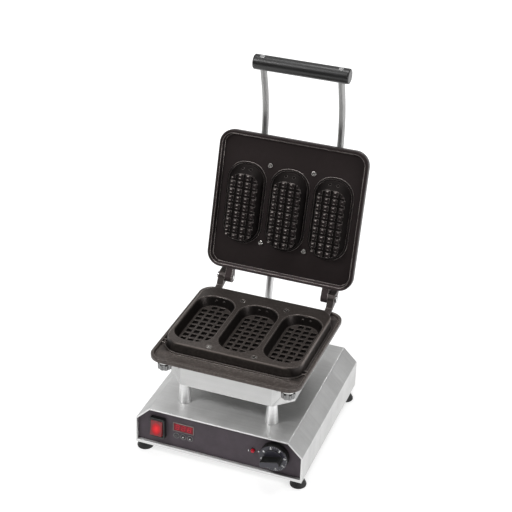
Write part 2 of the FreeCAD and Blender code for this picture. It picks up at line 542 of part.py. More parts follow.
for k in (-1, 1):
    for y in (SCREW_YF, SCREW_YR):
        cuts += [cyl((k * SCREW_X, y, 165), (0, 0, 1), 3.1, 40), cone((k * SCREW_X, y, BLOCK_TOP - 3.2), (0, 0, 1), 3.1, 5.3, 3.21)]
    cuts.append(cyl((k * 99.6, 269.6, 174), (0, 0, 1), 2.55, 10))
c = c.cut(cuts).removeSplitter()
put("lower_plate", c)


def csk(x, y):
    s = cone((x, y, BLOCK_TOP - 3.1), (0, 0, 1), 3.0, 5.1, 2.9).fuse(cyl((x, y, 163), (0, 0, 1), 3.0, BLOCK_TOP - 166)).removeSplitter()
    return s.cut(box(x - 6, x + 6, y - 0.6, y + 0.6, BLOCK_TOP - 1.7, BLOCK_TOP + 1))


put("lower_plate_screws", group([csk(k * SCREW_X, y) for k in (-1, 1) for y in (SCREW_YF, SCREW_YR)]))

# ---------------------------------------------------------------- hinge
STOP_Y, STOP_Z = lid_point(-8.0, -19.8)


def arm(k):
    x0, x1 = 104.0, 117.0
    s = cyl((x0, HINGE_Y, HINGE_Z), (1, 0, 0), 10.5, x1 - x0)
    s = s.fuse([poly_x([(264.4, 180), (274.6, 180), (274.6, 184.4), (298, 191.6), (298, 202), (287.6, 202.5), (280.8, 190.6), (266.8, 187.0), (264.4, 185.4)], x0, x1),
                cyl((x0, STOP_Y, STOP_Z), (1, 0, 0), 5.4, x1 - x0),
                poly_x([(HINGE_Y + 4, HINGE_Z - 9.4), (STOP_Y + 3.6, STOP_Z - 4.0), (STOP_Y - 2, STOP_Z + 5.0), (HINGE_Y - 1, HINGE_Z + 10.2)], x0, x1),
                box(94.6, x1, 264.4, 274.6, GUTTER_Z + 0.02, 184.2)]).removeSplitter()
    s = s.cut([cyl((90, HINGE_Y, HINGE_Z), (1, 0, 0), 4.03, 40), cyl((90, STOP_Y, STOP_Z), (1, 0, 0), 2.53, 40), cyl((99.6, 269.6, 170), (0, 0, 1), 2.6, 30)])
    return s if k > 0 else s.mirror(V(0, 0, 0), V(1, 0, 0))


put("hinge_arm_left", arm(-1))
put("hinge_arm_right", arm(1))
put("hinge_arm_screws", group([hexagon((k * 99.6, 269.6, 184.23), (0, 0, 1), 8, 3.4).fuse(cyl((k * 99.6, 269.6, 174.3), (0, 0, 1), 2.5, 11)).removeSplitter() for k in (-1, 1)]))


def pin(k):
    s = cyl((88.6, HINGE_Y, HINGE_Z), (1, 0, 0), 4.0, 30)
    hd = cyl((117.1, HINGE_Y, HINGE_Z), (1, 0, 0), 6.6, 4)
    hd = hd.makeFillet(1.6, [e for e in hd.Edges if abs(e.BoundBox.XMin - 121.1) < 1e-3])
    s = s.fuse(hd).removeSplitter()
    return s if k > 0 else s.mirror(V(0, 0, 0), V(1, 0, 0))


put("hinge_pins", group(both(pin)))
put("lid_stop_pins", group([cyl((k * 97.0, STOP_Y, STOP_Z), (k, 0, 0), 2.5, 19.6) for k in (-1, 1)]))

# ---------------------------------------------------------------- lid, in (x, s, h)
SC = LID_L / 2
p = frustum(rrect(0, SC, LID_HX - 4, SC - 4, LID_R - 4, -16), rrect(0, SC, LID_HX, SC, LID_R, -12))
p = p.fuse(prism(rrect(0, SC, LID_HX, SC, LID_R, -12), 12)).removeSplitter()
p = p.makeFillet(2.4, edges_at(p, 0))
p = p.cut(frustum(rrect(0, SC, LID_HX - 8.6, SC - 8.6, LID_R - 8.6, FIELD_H), rrect(0, SC, LID_HX - 6.2, SC - 6.2, LID_R - 6.2, 0.2)))
add = []
for i in (-1, 0, 1):
    xc = i * WELL_PITCH
    bead = prism(rrect(xc, PLUG_S, 38.6, 78.6, 36, FIELD_H - 0.5), 4.0)
    bead = bead.makeFillet(1.6, edges_at(bead, FIELD_H + 3.5))
    bead = bead.cut(prism(rrect(xc, PLUG_S, 35.4, 75.4, 32.8, FIELD_H - 1), 9))
    plug = frustum(rrect(xc, PLUG_S, 36.4, 76.4, 34, FIELD_H - 0.5), rrect(xc, PLUG_FACE_S, 27, 64, 21, 5.6))
    add += [bead, plug]
p = p.fuse(add)
stud = Part.makeLoft([square(0, 0, 4.8, 4.4), square(0, 0, 4.1, 9.2), square(0, 0, 3.0, 10.4)], True, True)
studs = []
for i in (-1, 0, 1):
    xc = i * WELL_PITCH
    edge = prism(rrect(xc, PLUG_FACE_S, 28.6, 63.6, 21, 1), 12)
    for j in (-1.5, -0.5, 0.5, 1.5):
        for q in range(-4, 5):
            s = stud.copy()
            s.translate(V(xc + j * 15.2, PLUG_FACE_S + q * STUD, 0))
            studs.append(s.common(edge) if abs(j) > 1 and abs(q) == 4 else s)
    for j in (-0.5, 0.5):
        studs.append(Part.makeSphere(2.8, V(xc + j * 15.2, 196.5, -2.4)))
p = p.fuse(studs).removeSplitter()
HS, HH = lid_local(HINGE_Y, HINGE_Z)
for k in (-1, 1):
    x0, x1 = sorted((k * 90.0, k * 103.5))
    lug = poly_x([(6, -2.6), (6, -15.6), (HS, HH - 10), (HS, HH + 10)], x0, x1).fuse(cyl((x0, HS, HH), (1, 0, 0), 10, x1 - x0))
    p = p.fuse(lug)
p = p.removeSplitter()
cuts = [cyl((-130, HS, HH), (1, 0, 0), 4.06, 260)]
LSCREW = [(k * SCREW_X, s) for k in (-1, 1) for s in (59.7, 210.0)]
COVSC = [(k * 112.0, s) for k in (-1, 1) for s in (28.0, 236.0)]
cuts += [cyl((x, s, -30), (0, 0, 1), 3.1, 30) for x, s in LSCREW]
cuts += [cyl((x, s, -30), (0, 0, 1), 2.05, 18.6) for x, s in COVSC]
put_lid("upper_plate", p.cut(cuts).removeSplitter())


def pan(x, s):
    q = cyl((x, s, FIELD_H + 0.03), (0, 0, 1), 4.9, 3.2)
    q = q.makeFillet(1.8, edges_at(q, FIELD_H + 3.23))
    return q.fuse(cyl((x, s, -23.5), (0, 0, 1), 3.0, 15)).removeSplitter().cut(box(x - 6, x + 6, s - 0.55, s + 0.55, FIELD_H + 2.0, 0))


put_lid("upper_plate_screws", group([pan(x, s) for x, s in LSCREW]))
hp = prism(rrect(0, 133, 105, 93, 10, -24), 7.97)
put_lid("upper_heat_plate", hp.cut([cyl((x, s, -30), (0, 0, 1), 3.05, 30) for x, s in LSCREW]))
put_lid("upper_element", serpentine(50, 216, -28.6, 4))
put_lid("upper_insulation", prism(rrect(0, 132, 104, 94, 8, -42), 8.6))
cv = prism(rrect(0, 132, 128, 118, 20, -45), 28.97)
cv = cv.makeFillet(8, edges_at(cv, -45))
ci = prism(rrect(0, 132, 126.9, 116.9, 18.9, -43.9), 30)
ci = ci.makeFillet(7, edges_at(ci, -43.9))
CLAMPS = [(k * ROD_X, s) for k in (-1, 1) for s in (85.0, 205.0)]
cuts = [ci, cyl((COND_X, 0, COND_H), (0, 1, 0), 8.2, 30)]
cuts += [cyl((x, s, -60), (0, 0, 1), 2.1, 30) for x, s in COVSC]
cuts += [cyl((x + d, s, -60), (0, 0, 1), 2.1, 20) for x, s in CLAMPS for d in (-10.6, 10.6)]
for q in cuts:
    cv = cv.cut(q)
put_lid("upper_cover", cv)
put_lid("cover_screws", group([cone((x, s, -45.03), (0, 0, -1), 4.6, 3.2, 2.6).fuse(cyl((x, s, -46), (0, 0, 1), 2.0, 34.4)).removeSplitter().cut(
    box(x - 6, x + 6, s - 0.5, s + 0.5, -50, -46.4)) for x, s in COVSC]))

A = math.radians(ROD_BEND_A)
BS, BH = ROD_BEND_S + ROD_BEND_R * math.sin(A), ROD_H + ROD_BEND_R * (1 - math.cos(A))
GRIP_S, GRIP_Q = BS + 52.9 * math.cos(A), BH + 52.9 * math.sin(A)


def rod(k):
    x = k * ROD_X
    m = A / 2
    ends = [V(x, 55, ROD_H), V(x, ROD_BEND_S, ROD_H), V(x, ROD_BEND_S + ROD_BEND_R * math.sin(m), ROD_H + ROD_BEND_R * (1 - math.cos(m))),
            V(x, BS, BH), V(x, BS + 47.9 * math.cos(A), BH + 47.9 * math.sin(A))]
    w = Part.Wire([Part.LineSegment(ends[0], ends[1]).toShape(), Part.Arc(ends[1], ends[2], ends[3]).toShape(), Part.LineSegment(ends[3], ends[4]).toShape()])
    s = pipe(w, ROD_R)
    return s.cut(cyl((x, GRIP_S, GRIP_Q), (0, -math.cos(A), -math.sin(A)), 2.6, 22))


put_lid("handle_rod_left", rod(-1))
put_lid("handle_rod_right", rod(1))


def clamp(x, s):
    q = box(x - 14.6, x + 14.6, s - 9, s + 9, -61, -45.03)
    q = q.makeFillet(4, [e for e in q.Edges if e.BoundBox.YLength > 10 and e.BoundBox.ZMax < -60])
    return q.cut([cyl((x, s - 20, ROD_H), (0, 1, 0), ROD_R + 0.05, 40), box(x - ROD_R - 0.05, x + ROD_R + 0.05, s - 10, s + 10, ROD_H, -40)]
                 + [cyl((x + d, s, -70), (0, 0, 1), 2.1, 40) for d in (-10.6, 10.6)])


put_lid("rod_clamp_screws", group([cyl((x + d, s, -60.6), (0, 0, -1), 3.3, 2.4).fuse(cyl((x + d, s, -61), (0, 0, 1), 2.0, 18.4)).removeSplitter()
                                   for x, s in CLAMPS for d in (-10.6, 10.6)]))
seats = []
for x, s in CLAMPS:
    q = clamp(x, s)
    for d in (-10.6, 10.6):
        q = q.cut(cyl((x + d, s, -60.55), (0, 0, -1), 3.4, 5))
    seats.append(q)
put_lid("rod_clamps", group(seats))

g = cyl((-GRIP_HX, GRIP_S, GRIP_Q), (1, 0, 0), GRIP_R, 2 * GRIP_HX)
g = g.makeFillet(2.6, [e for e in g.Edges if e.BoundBox.XLength < 1e-3])
dr = V(0, math.cos(A), math.sin(A))
for k in (-1, 1):
    c0 = V(k * ROD_X, GRIP_S, GRIP_Q)
    g = g.cut([Part.makeCylinder(ROD_R + 0.05, 30, c0 - dr * 4.8, dr * -1), Part.makeCylinder(2.6, 40, c0 - dr * 6, dr),
               Part.makeCylinder(4.9, 10, c0 + dr * 11.4, dr)])
put_lid("handle_grip", g)
gs = []
for k in (-1, 1):
    c0 = V(k * ROD_X, GRIP_S, GRIP_Q)
    hd = Part.makeCylinder(4.8, 2.6, c0 + dr * 11.45, dr)
    q = hd.fuse(Part.makeCylinder(2.5, 26, c0 + dr * 12, dr * -1)).removeSplitter()
    sx = Part.makeBox(12, 1.1, 3, V(-6, -0.55, 0))
    sx.Placement = FreeCAD.Placement(c0 + dr * 13.0, FreeCAD.Rotation(V(0, 0, 1), dr))
    gs.append(q.cut(sx))
put_lid("grip_screws", group(gs))
lg = hexagon((COND_X, 4.9, COND_H), (0, 1, 0), 20, 9).fuse(cyl((COND_X, 8, COND_H), (0, 1, 0), 8, 18)).fuse(hexagon((COND_X, 15.15, COND_H), (0, 1, 0), 19, 5))
put_lid("lid_gland", lg.cut([cyl((COND_X, -5, COND_H), (0, 1, 0), COND_R + 0.06, 12.1), cyl((COND_X, -5, COND_H), (0, 1, 0), 5.2, 50)]).removeSplitter())

# ---------------------------------------------------------------- move to the shared frame and write
lo, hi = [1e9] * 3, [-1e9] * 3
for name, s in NODES.items():
    s.translate(V(0, -Y_MID, FOOT_H))
    bb = s.optimalBoundingBox() if name in ("thermostat_knob", "handle_rod_left", "handle_grip", "rod_clamp_screws") else s.BoundBox
    lo = [min(a, b) for a, b in zip(lo, (bb.XMin, bb.YMin, bb.ZMin))]
    hi = [max(a, b) for a, b in zip(hi, (bb.XMax, bb.YMax, bb.ZMax))]
    n = len(s.Solids)
    if not s.isValid() or n == 0 or any(v.Volume <= 0 for v in s.Solids):
        print("CHECK", name, s.isValid(), n, s.Volume)
    s.exportStep("parts/%s.step" % name)
print("nodes", len(NODES), "solids", sum(len(s.Solids) for s in NODES.values()))
print("box", [round(v, 2) for v in lo], [round(v, 2) for v in hi])
print("hinge", 0, HINGE_Y - Y_MID, HINGE_Z + FOOT_H, "rocker", ROCKER_X, PIV_Y - Y_MID, ROCKER_Z + FOOT_H,
      "knob", KNOB_X, -Y_MID, KNOB_Z + FOOT_H, "stop", STOP_Y - Y_MID, STOP_Z + FOOT_H, "grip", lid_point(GRIP_S, GRIP_Q), "cond", COND_Y, LID_Y0, LID_Z0)
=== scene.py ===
import bpy, bmesh, json, math
from mathutils import Matrix, Vector


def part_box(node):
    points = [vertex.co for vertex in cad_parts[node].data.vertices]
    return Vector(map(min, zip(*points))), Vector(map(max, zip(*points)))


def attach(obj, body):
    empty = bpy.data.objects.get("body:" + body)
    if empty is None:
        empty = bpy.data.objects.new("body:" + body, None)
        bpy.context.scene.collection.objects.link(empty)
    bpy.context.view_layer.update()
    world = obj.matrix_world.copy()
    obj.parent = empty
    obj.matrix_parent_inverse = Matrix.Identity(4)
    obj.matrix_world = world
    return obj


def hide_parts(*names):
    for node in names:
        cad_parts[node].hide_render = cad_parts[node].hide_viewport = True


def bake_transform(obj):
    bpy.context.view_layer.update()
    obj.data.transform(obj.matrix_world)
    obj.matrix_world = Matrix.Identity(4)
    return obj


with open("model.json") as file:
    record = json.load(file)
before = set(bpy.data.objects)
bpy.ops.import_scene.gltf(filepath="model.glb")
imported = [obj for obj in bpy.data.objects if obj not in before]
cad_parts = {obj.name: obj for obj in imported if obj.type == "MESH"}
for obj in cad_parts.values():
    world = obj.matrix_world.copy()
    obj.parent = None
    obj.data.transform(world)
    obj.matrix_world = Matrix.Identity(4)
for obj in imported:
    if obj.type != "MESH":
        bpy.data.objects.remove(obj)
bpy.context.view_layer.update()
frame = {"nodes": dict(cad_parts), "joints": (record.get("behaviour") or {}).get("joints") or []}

N = frame["nodes"]
SC = bpy.context.scene
# drawing frame (y from the front edge of the base, z from its lower edge) to the shared frame, by the hinge, mm
HINGE = [j for j in frame["joints"] if j["name"] == "lid_hinge"][0]["pos_m"]
YM, FH = 298.0 - HINGE[1] * 1000.0, HINGE[2] * 1000.0 - 202.0


def middle(node):
    lo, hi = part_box(node)
    return ((lo[0] + hi[0]) * 500.0, (lo[1] + hi[1]) * 500.0 + YM, (lo[2] + hi[2]) * 500.0 - FH)


def front(node):
    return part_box(node)[0][1] * 1000.0 + YM



def R(x, y, z):
    return Vector((x / 1000.0, (y - YM) / 1000.0, (z + FH) / 1000.0))


# lid frame: x across, s up the lid, h out of its face
OPEN = math.radians(74.46)
LID_M = Matrix.Translation(R(0, 295.2, 222.1)) @ Matrix.Rotation(OPEN, 4, "X") @ Matrix.Scale(0.001, 4)


def L(x, s, h):
    return LID_M @ Vector((x, s, h))


# ---------------------------------------------------------------- node helpers
class Mat:
    def __init__(self, name):
        self.m = bpy.data.materials.new(name)
        self.m.use_nodes = True
        self.t = self.m.node_tree
        self.t.nodes.clear()
        self.out = self.n("ShaderNodeOutputMaterial")
        self.b = self.n("ShaderNodeBsdfPrincipled")
        self.l(self.b.outputs[0], self.out.inputs[0])
        self.tc = self.n("ShaderNodeTexCoord")

    def n(self, kind, **kw):
        x = self.t.nodes.new(kind)
        for k, v in kw.items():
            setattr(x, k, v)
        return x

    def l(self, a, b):
        self.t.links.new(a, b)

    def set(self, **kw):
        for k, v in kw.items():
            self.b.inputs[k.replace("_", " ")].default_value = v
        return self

    def noise(self, scale, detail=4.0, rough=0.55, stretch=None, rot=None):
        x = self.n("ShaderNodeTexNoise")
        x.inputs["Scale"].default_value = scale
        x.inputs["Detail"].default_value = detail
        x.inputs["Roughness"].default_value = rough
        src = self.tc.outputs["Object"]
        if stretch:
            mp = self.n("ShaderNodeMapping")
            mp.inputs["Scale"].default_value = stretch
            if rot:
                mp.inputs["Rotation"].default_value = rot
            self.l(src, mp.inputs["Vector"])
            src = mp.outputs["Vector"]
        self.l(src, x.inputs["Vector"])
        return x.outputs["Fac"]

    def ramp(self, fac, stops):
        x = self.n("ShaderNodeValToRGB")
        els = x.color_ramp.elements
        while len(els) < len(stops):
            els.new(0.5)
        for i, (p, c) in enumerate(stops):
            els[i].position = p
            els[i].color = (*c, 1.0) if len(c) == 3 else c
        self.l(fac, x.inputs["Fac"])
        return x.outputs["Color"]

    def span(self, fac, a, b, lo=0.0, hi=1.0):
        x = self.n("ShaderNodeMapRange")
        x.inputs["From Min"].default_value = lo
        x.inputs["From Max"].default_value = hi
        x.inputs["To Min"].default_value = a
        x.inputs["To Max"].default_value = b
        self.l(fac, x.inputs["Value"])
        return x.outputs["Result"]

    def math(self, op, a, b=None):
        x = self.n("ShaderNodeMath", operation=op)
        for i, v in enumerate((a, b)):
            if v is None:
                continue
            if isinstance(v, (int, float)):
                x.inputs[i].default_value = v
            else:
                self.l(v, x.inputs[i])
        return x.outputs[0]

    def mix(self, fac, a, b, mode="MIX"):
        x = self.n("ShaderNodeMix", data_type="RGBA", blend_type=mode)
        for i, v in ((0, fac), (6, a), (7, b)):
            if isinstance(v, (int, float)):
                x.inputs[i].default_value = v
            elif isinstance(v, (tuple, list)):
                x.inputs[i].default_value = (*v, 1.0) if len(v) == 3 else v
            else:
                self.l(v, x.inputs[i])
        return x.outputs[2]

    def bevel(self, radius, samples=4):
        x = self.n("ShaderNodeBevel", samples=samples)
        x.inputs["Radius"].default_value = radius
        return x.outputs["Normal"]

    def bump(self, height, strength, distance, normal=None):
        x = self.n("ShaderNodeBump")
        x.inputs["Strength"].default_value = strength
        x.inputs["Distance"].default_value = distance
        self.l(height, x.inputs["Height"])
        if normal is not None:
            self.l(normal, x.inputs["Normal"])
        return x.outputs["Normal"]

    def normal(self, nrm):
        self.l(nrm, self.b.inputs["Normal"])

    def edge(self, bevel, lo=0.015, hi=0.16):
        g = self.n("ShaderNodeNewGeometry")
        d = self.n("ShaderNodeVectorMath", operation="DOT_PRODUCT")
        self.l(bevel, d.inputs[0])
        self.l(g.outputs["Normal"], d.inputs[1])
        return self.span(self.math("SUBTRACT", 1.0, d.outputs["Value"]), 0.0, 1.0, lo, hi)

    def xyz(self):
        s = self.n("ShaderNodeSeparateXYZ")
        self.l(self.tc.outputs["Object"], s.inputs[0])
        return s.outputs

    def color(self, c):
        self.l(c, self.b.inputs["Base Color"])

    def rough(self, r):
        self.l(r, self.b.inputs["Roughness"])


GRAIN = {"x": (1.0, 0.03, 0.02), "y": (0.03, 1.0, 0.02), "z": (0.03, 0.02, 1.0), "wrap": (0.8, 0.01, 0.6)}


def across_grain(m, grain):
    """Brushed metal stretches its highlights across the grain: the tangent lies in the surface, square to it."""
    c = m.n("ShaderNodeVectorMath", operation="CROSS_PRODUCT")
    m.l(m.tc.outputs["Normal"], c.inputs[0])
    c.inputs[1].default_value = GRAIN[grain]
    w = m.n("ShaderNodeVectorTransform", vector_type="VECTOR", convert_from="OBJECT", convert_to="WORLD")
    m.l(c.outputs["Vector"], w.inputs["Vector"])
    m.l(w.outputs["Vector"], m.b.inputs["Tangent"])


def brushed(name, col, rough, grain, streak=0.10, bump=0.05, bevel=0.0006, dirt=0.06, aniso=0.6):
    """Brushed sheet: fine streaks along the grain, soft cloudiness, faint handling marks, edges lightened as a painted
    highlight.
    """
    m = Mat(name)
    m.set(Metallic=1.0, Anisotropic=aniso)
    m.b.inputs["Specular Tint"].default_value = (0.5, 0.5, 0.5, 1.0)
    across_grain(m, grain)
    st = {"x": (6, 900, 900), "y": (900, 6, 900), "z": (900, 900, 6), "wrap": (6, 900, 9)}[grain]
    fine = m.noise(1.0, 3.0, 0.6, st)
    wide = m.noise(1.0, 2.0, 0.5, tuple(v * 0.16 for v in st))
    cloud = m.noise(7.0, 4.0, 0.55)
    marks = m.noise(38.0, 6.0, 0.7)
    bv = m.bevel(bevel)
    e = m.edge(m.bevel(bevel * 2.2))
    k = m.mix(m.span(fine, 0.0, 1.0, 0.3, 0.7), tuple(v * (1 - streak) for v in col), tuple(min(1, v * (1 + streak)) for v in col))
    k = m.mix(m.span(wide, 0.0, 0.35, 0.35, 0.7), k, tuple(v * 0.86 for v in col))
    k = m.mix(m.span(cloud, 0.0, dirt * 3, 0.45, 0.75), k, tuple(v * 0.78 for v in col))
    k = m.mix(m.span(m.noise(30.0, 5.0, 0.62), 0.0, dirt * 2, 0.42, 0.72), k, tuple(v * 0.7 for v in col))
    # painted highlight: colour lightened along the edges
    k = m.mix(m.math("MULTIPLY", e, 0.7), k, tuple(min(1, v * 1.4) for v in col))
    m.color(k)
    r = m.math("ADD", m.span(fine, rough * 0.85, rough * 1.2, 0.3, 0.7), m.span(marks, -0.03, 0.06, 0.3, 0.75))
    m.rough(m.math("SUBTRACT", r, m.math("MULTIPLY", e, 0.1)))
    m.normal(m.bump(fine, bump, 0.0004, bv))
    return m.m


def plated(name, col, rough, dull=0.72):
    m = Mat(name)
    m.set(Metallic=1.0)
    c = m.noise(60.0, 4.0, 0.6)
    m.color(m.mix(m.span(c, 0.0, 0.5, 0.4, 0.8), col, tuple(v * dull for v in col)))
    f = m.noise(420.0, 3.0, 0.6)
    m.rough(m.span(f, rough * 0.7, rough * 1.6, 0.3, 0.7))
    m.normal(m.bump(f, 0.03, 0.0003, m.bevel(0.0005)))
    return m.m


def drawn(name, col, rough, axis, metal=1.0):
    """Drawn or turned bar: streaks along its length or round it, darker cloudy patches."""
    m = Mat(name)
    m.set(Metallic=metal)
    st = {"x": (20, 1500, 1500), "y": (1500, 20, 1500), "z": (1500, 1500, 20), "round": (24, 24, 1900)}[axis]
    f = m.noise(1.0, 3.0, 0.6, st)
    c = m.noise(22.0, 5.0, 0.6)
    k = m.mix(m.span(f, 0.0, 1.0, 0.3, 0.7), tuple(v * 0.84 for v in col), tuple(min(1, v * 1.12) for v in col))
    m.color(m.mix(m.span(c, 0.0, 0.4, 0.45, 0.8), k, tuple(v * 0.65 for v in col)))
    m.rough(m.math("ADD", m.span(f, rough * 0.8, rough * 1.2, 0.3, 0.7), m.span(c, -0.02, 0.07, 0.3, 0.8)))
    m.normal(m.bump(f, 0.08, 0.0003, m.bevel(0.0006)))
    return m.m


LID_N = (L(0, 0, 1) - L(0, 0, 0)).normalized()
LID_H0 = L(0, 0, 0).dot(LID_N)
LID_U = (L(0, 1, 0) - L(0, 0, 0)).normalized()
LID_U0 = L(0, 0, 0).dot(LID_U)
PLUG_PITCH, STUD_STEP, LID_LEN, FACE_S = 0.0858, 0.0146, 0.267, 0.124


def cast(name, dark, lite, rough, rubbed_and_highlight_col, spec, coat=0.0, wear=0.75, grain=0.2, plugs=False, block=None):
    """Non-stick coated casting: brown-black, sandy skin, painted shade darkening its crevices, slicker where batter
    lies, edges rubbed to metal and lightened past that as a painted highlight.
    """
    m = Mat(name)
    m.set(Coat_Weight=coat, Coat_Roughness=0.14)
    m.b.inputs["Specular IOR Level"].default_value = spec
    m.b.inputs["Specular Tint"].default_value = (1.0, 0.87, 0.84, 1.0)
    big = m.noise(9.0, 5.0, 0.6)
    mid = m.noise(70.0, 6.0, 0.65)
    fine = m.noise(1500.0, 3.0, 0.6)
    bv = m.bevel(0.0015, 6)
    # painted shade: ambient occlusion darkens the colour in crevices and also roughens them
    ao = m.n("ShaderNodeAmbientOcclusion", samples=6, only_local=True)
    ao.inputs["Distance"].default_value = 0.009
    crevice_shade = m.span(ao.outputs["AO"], 1.0, 0.0, 0.2, 0.72)
    k = m.mix(m.span(big, 0.0, 1.0, 0.3, 0.72), dark, lite)
    k = m.mix(m.span(mid, 0.0, 0.35, 0.5, 0.8), k, tuple(v * 0.6 for v in dark))
    # edge mask: edges rubbed to pale metal, lightened past that as a painted highlight
    e = m.math("MULTIPLY", m.edge(bv, 0.012, 0.12), m.span(mid, wear * 0.5, wear, 0.3, 0.6))
    r = m.math("ADD", m.span(mid, rough - 0.05, rough + 0.09, 0.3, 0.7), m.math("MULTIPLY", e, -0.06))
    if plugs:
        # lid: lower rim lightened as a painted highlight, plug walls darkened as painted shade, slicker studs
        d = m.n("ShaderNodeVectorMath", operation="DOT_PRODUCT")
        m.l(m.tc.outputs["Object"], d.inputs[0])
        d.inputs[1].default_value = LID_N
        h = d.outputs["Value"]
        du = m.n("ShaderNodeVectorMath", operation="DOT_PRODUCT")
        m.l(m.tc.outputs["Object"], du.inputs[0])
        du.inputs[1].default_value = LID_U
        su = m.math("SUBTRACT", du.outputs["Value"], LID_U0)
        q = m.xyz()
        # painted highlight: colour lightened along the lower rim
        k = m.mix(m.span(su, 0.8, 0.0, 0.0070, 0.0095), k, tuple(v * 2.4 for v in lite))
        inner = m.math("MULTIPLY", m.span(m.math("ABSOLUTE", q["X"]), 1.0, 0.0, 0.1320, 0.1340),
                       m.math("MULTIPLY", m.span(su, 0.0, 1.0, 0.0120, 0.0140), m.span(su, 1.0, 0.0, LID_LEN - 0.0140, LID_LEN - 0.0120)))
        slope = m.math("MULTIPLY", m.span(h, 0.0, 1.0, LID_H0 - 0.0080, LID_H0 - 0.0062), m.span(h, 1.0, 0.25, LID_H0 + 0.0052, LID_H0 + 0.0062))
        slope = m.math("MULTIPLY", slope, inner)
        # painted shade: plug walls darkened
        k = m.mix(slope, k, tuple(v * 0.08 for v in dark))
        # studs stand in four columns on each plug; a painted glint at the upper and lower edge of each, brighter at the
        # lower edge and dimmer on the right outer column; stud tips darkened and the channels between columns darkened
        # as painted shade
        w = m.n("ShaderNodeMath", operation="WRAP")
        m.l(q["X"], w.inputs[0])
        w.inputs[1].default_value = PLUG_PITCH / 2
        w.inputs[2].default_value = -PLUG_PITCH / 2
        xr = w.outputs[0]
        cu = m.math("PINGPONG", m.math("ADD", m.math("ABSOLUTE", xr), 0.0076), 0.0076)
        rs = m.math("PINGPONG", m.math("ADD", su, STUD_STEP * 20.25 - FACE_S), STUD_STEP / 4)
        face = m.math("MULTIPLY", inner, m.span(h, 0.0, 1.0, LID_H0 + 0.0042, LID_H0 + 0.0050))
        stud = m.math("MULTIPLY", inner, m.span(h, 0.0, 1.0, LID_H0 + 0.0066, LID_H0 + 0.0076))
        chan = m.math("MULTIPLY", face, m.span(cu, 0.0, 1.0, 0.0036, 0.0046))
        # stud tips darkened; channels between columns darkened as painted shade
        k = m.mix(m.math("MULTIPLY", stud, 0.35), k, tuple(v * 0.3 for v in dark))
        k = m.mix(chan, k, tuple(v * 0.05 for v in dark))
        # painted glints: bright spots at each stud's upper and lower edge, brighter at the lower edge, dimmer on the
        # right outer column
        dot = m.math("ADD", m.math("POWER", m.math("DIVIDE", cu, 0.0020), 2.0), m.math("POWER", m.math("DIVIDE", rs, 0.0014), 2.0))
        dot = m.math("MULTIPLY", m.span(dot, 1.0, 0.0, 0.35, 1.25), m.span(xr, 1.0, 0.3, 0.012, 0.018))
        dot = m.math("MULTIPLY", dot, m.span(mid, 0.28, 0.60, 0.3, 0.6))
        half = m.n("ShaderNodeMath", operation="WRAP")
        m.l(m.math("SUBTRACT", su, FACE_S), half.inputs[0])
        half.inputs[1].default_value = STUD_STEP / 2
        half.inputs[2].default_value = -STUD_STEP / 2
        dot = m.math("MULTIPLY", dot, m.span(half.outputs[0], 1.6, 0.8, -0.001, 0.001))
        e = m.math("ADD", m.math("MULTIPLY", e, m.math("SUBTRACT", 1.0, stud)), m.math("MULTIPLY", stud, dot))
        e = m.math("MULTIPLY", e, m.span(m.math("MULTIPLY", slope, m.math("SUBTRACT", 1.0, stud)), 1.0, 0.3))
        crevice_shade = m.math("MULTIPLY", crevice_shade, m.math("SUBTRACT", 1.0, m.math("MULTIPLY", m.math("MULTIPLY", face, m.math("SUBTRACT", 1.0, chan)), 0.6)))
        r = m.math("ADD", m.math("SUBTRACT", r, m.math("MULTIPLY", stud, 0.08)), m.math("MULTIPLY", m.math("MAXIMUM", slope, chan), 0.22))
    if block:
        # baking block: sandy grit; well walls, pits and its outer face darkened as painted shade; the block top and
        # ridges darker, and darker still towards the back as painted shade; a painted highlight along its upper rim
        cx, cy, hx, hy, z0, z1 = block
        q = m.xyz()
        out = m.math("MAXIMUM", m.math("DIVIDE", m.math("ABSOLUTE", m.math("SUBTRACT", q["X"], cx)), hx),
                     m.math("DIVIDE", m.math("ABSOLUTE", m.math("SUBTRACT", q["Y"], cy)), hy))
        inside = m.span(out, 1.0, 0.0, 1.0, 1.03)
        grit = m.noise(250.0, 4.0, 0.65)
        k = m.mix(m.span(grit, 0.0, 0.75, 0.48, 0.72), k, tuple(v * 0.4 for v in dark))
        k = m.mix(m.span(grit, 0.75, 0.0, 0.28, 0.47), k, tuple(v * 1.75 for v in lite))
        # painted shade: well walls, pits and, at about half strength, the block's outer face darkened
        wall_shade = m.math("MULTIPLY", m.span(q["Z"], 1.0, 0.0, z1 - 0.0022, z1 - 0.0008), m.span(q["Z"], 0.0, 1.0, z0 + 0.0005, z0 + 0.002))
        wall_shade = m.math("MULTIPLY", m.math("MAXIMUM", wall_shade, m.span(q["Z"], 1.0, 0.0, z0 - 0.0012, z0 - 0.0003)), m.math("MULTIPLY", inside, m.span(out, 1.0, 0.55, 0.95, 0.97)))
        # block top and ridges darkened, darker still towards the back as painted shade under the lid
        k = m.mix(m.math("MULTIPLY", inside, m.math("ADD", m.span(mid, 0.1, 0.3, 0.3, 0.7), m.span(q["Y"], 0.0, 0.5, cy - hy, cy + hy))), k, tuple(v * 0.3 for v in dark))
        k = m.mix(wall_shade, k, tuple(v * 0.09 for v in dark))
        # painted highlight: colour lightened along the block's upper rim
        edge = m.math("MULTIPLY", m.span(q["Z"], 0.0, 1.0, z1 - 0.0034, z1 - 0.0018), m.span(out, 0.0, 0.7, 0.965, 0.985))
        k = m.mix(m.math("MULTIPLY", edge, inside), k, tuple(v * 2.2 for v in lite))
        e = m.math("MULTIPLY", e, m.span(m.math("MULTIPLY", inside, m.span(q["Z"], 1.0, 0.0, z1 - 0.004, z1 - 0.002)), 1.0, 0.15))
    # painted shade in the crevices
    k = m.mix(crevice_shade, k, tuple(v * 0.05 for v in dark))
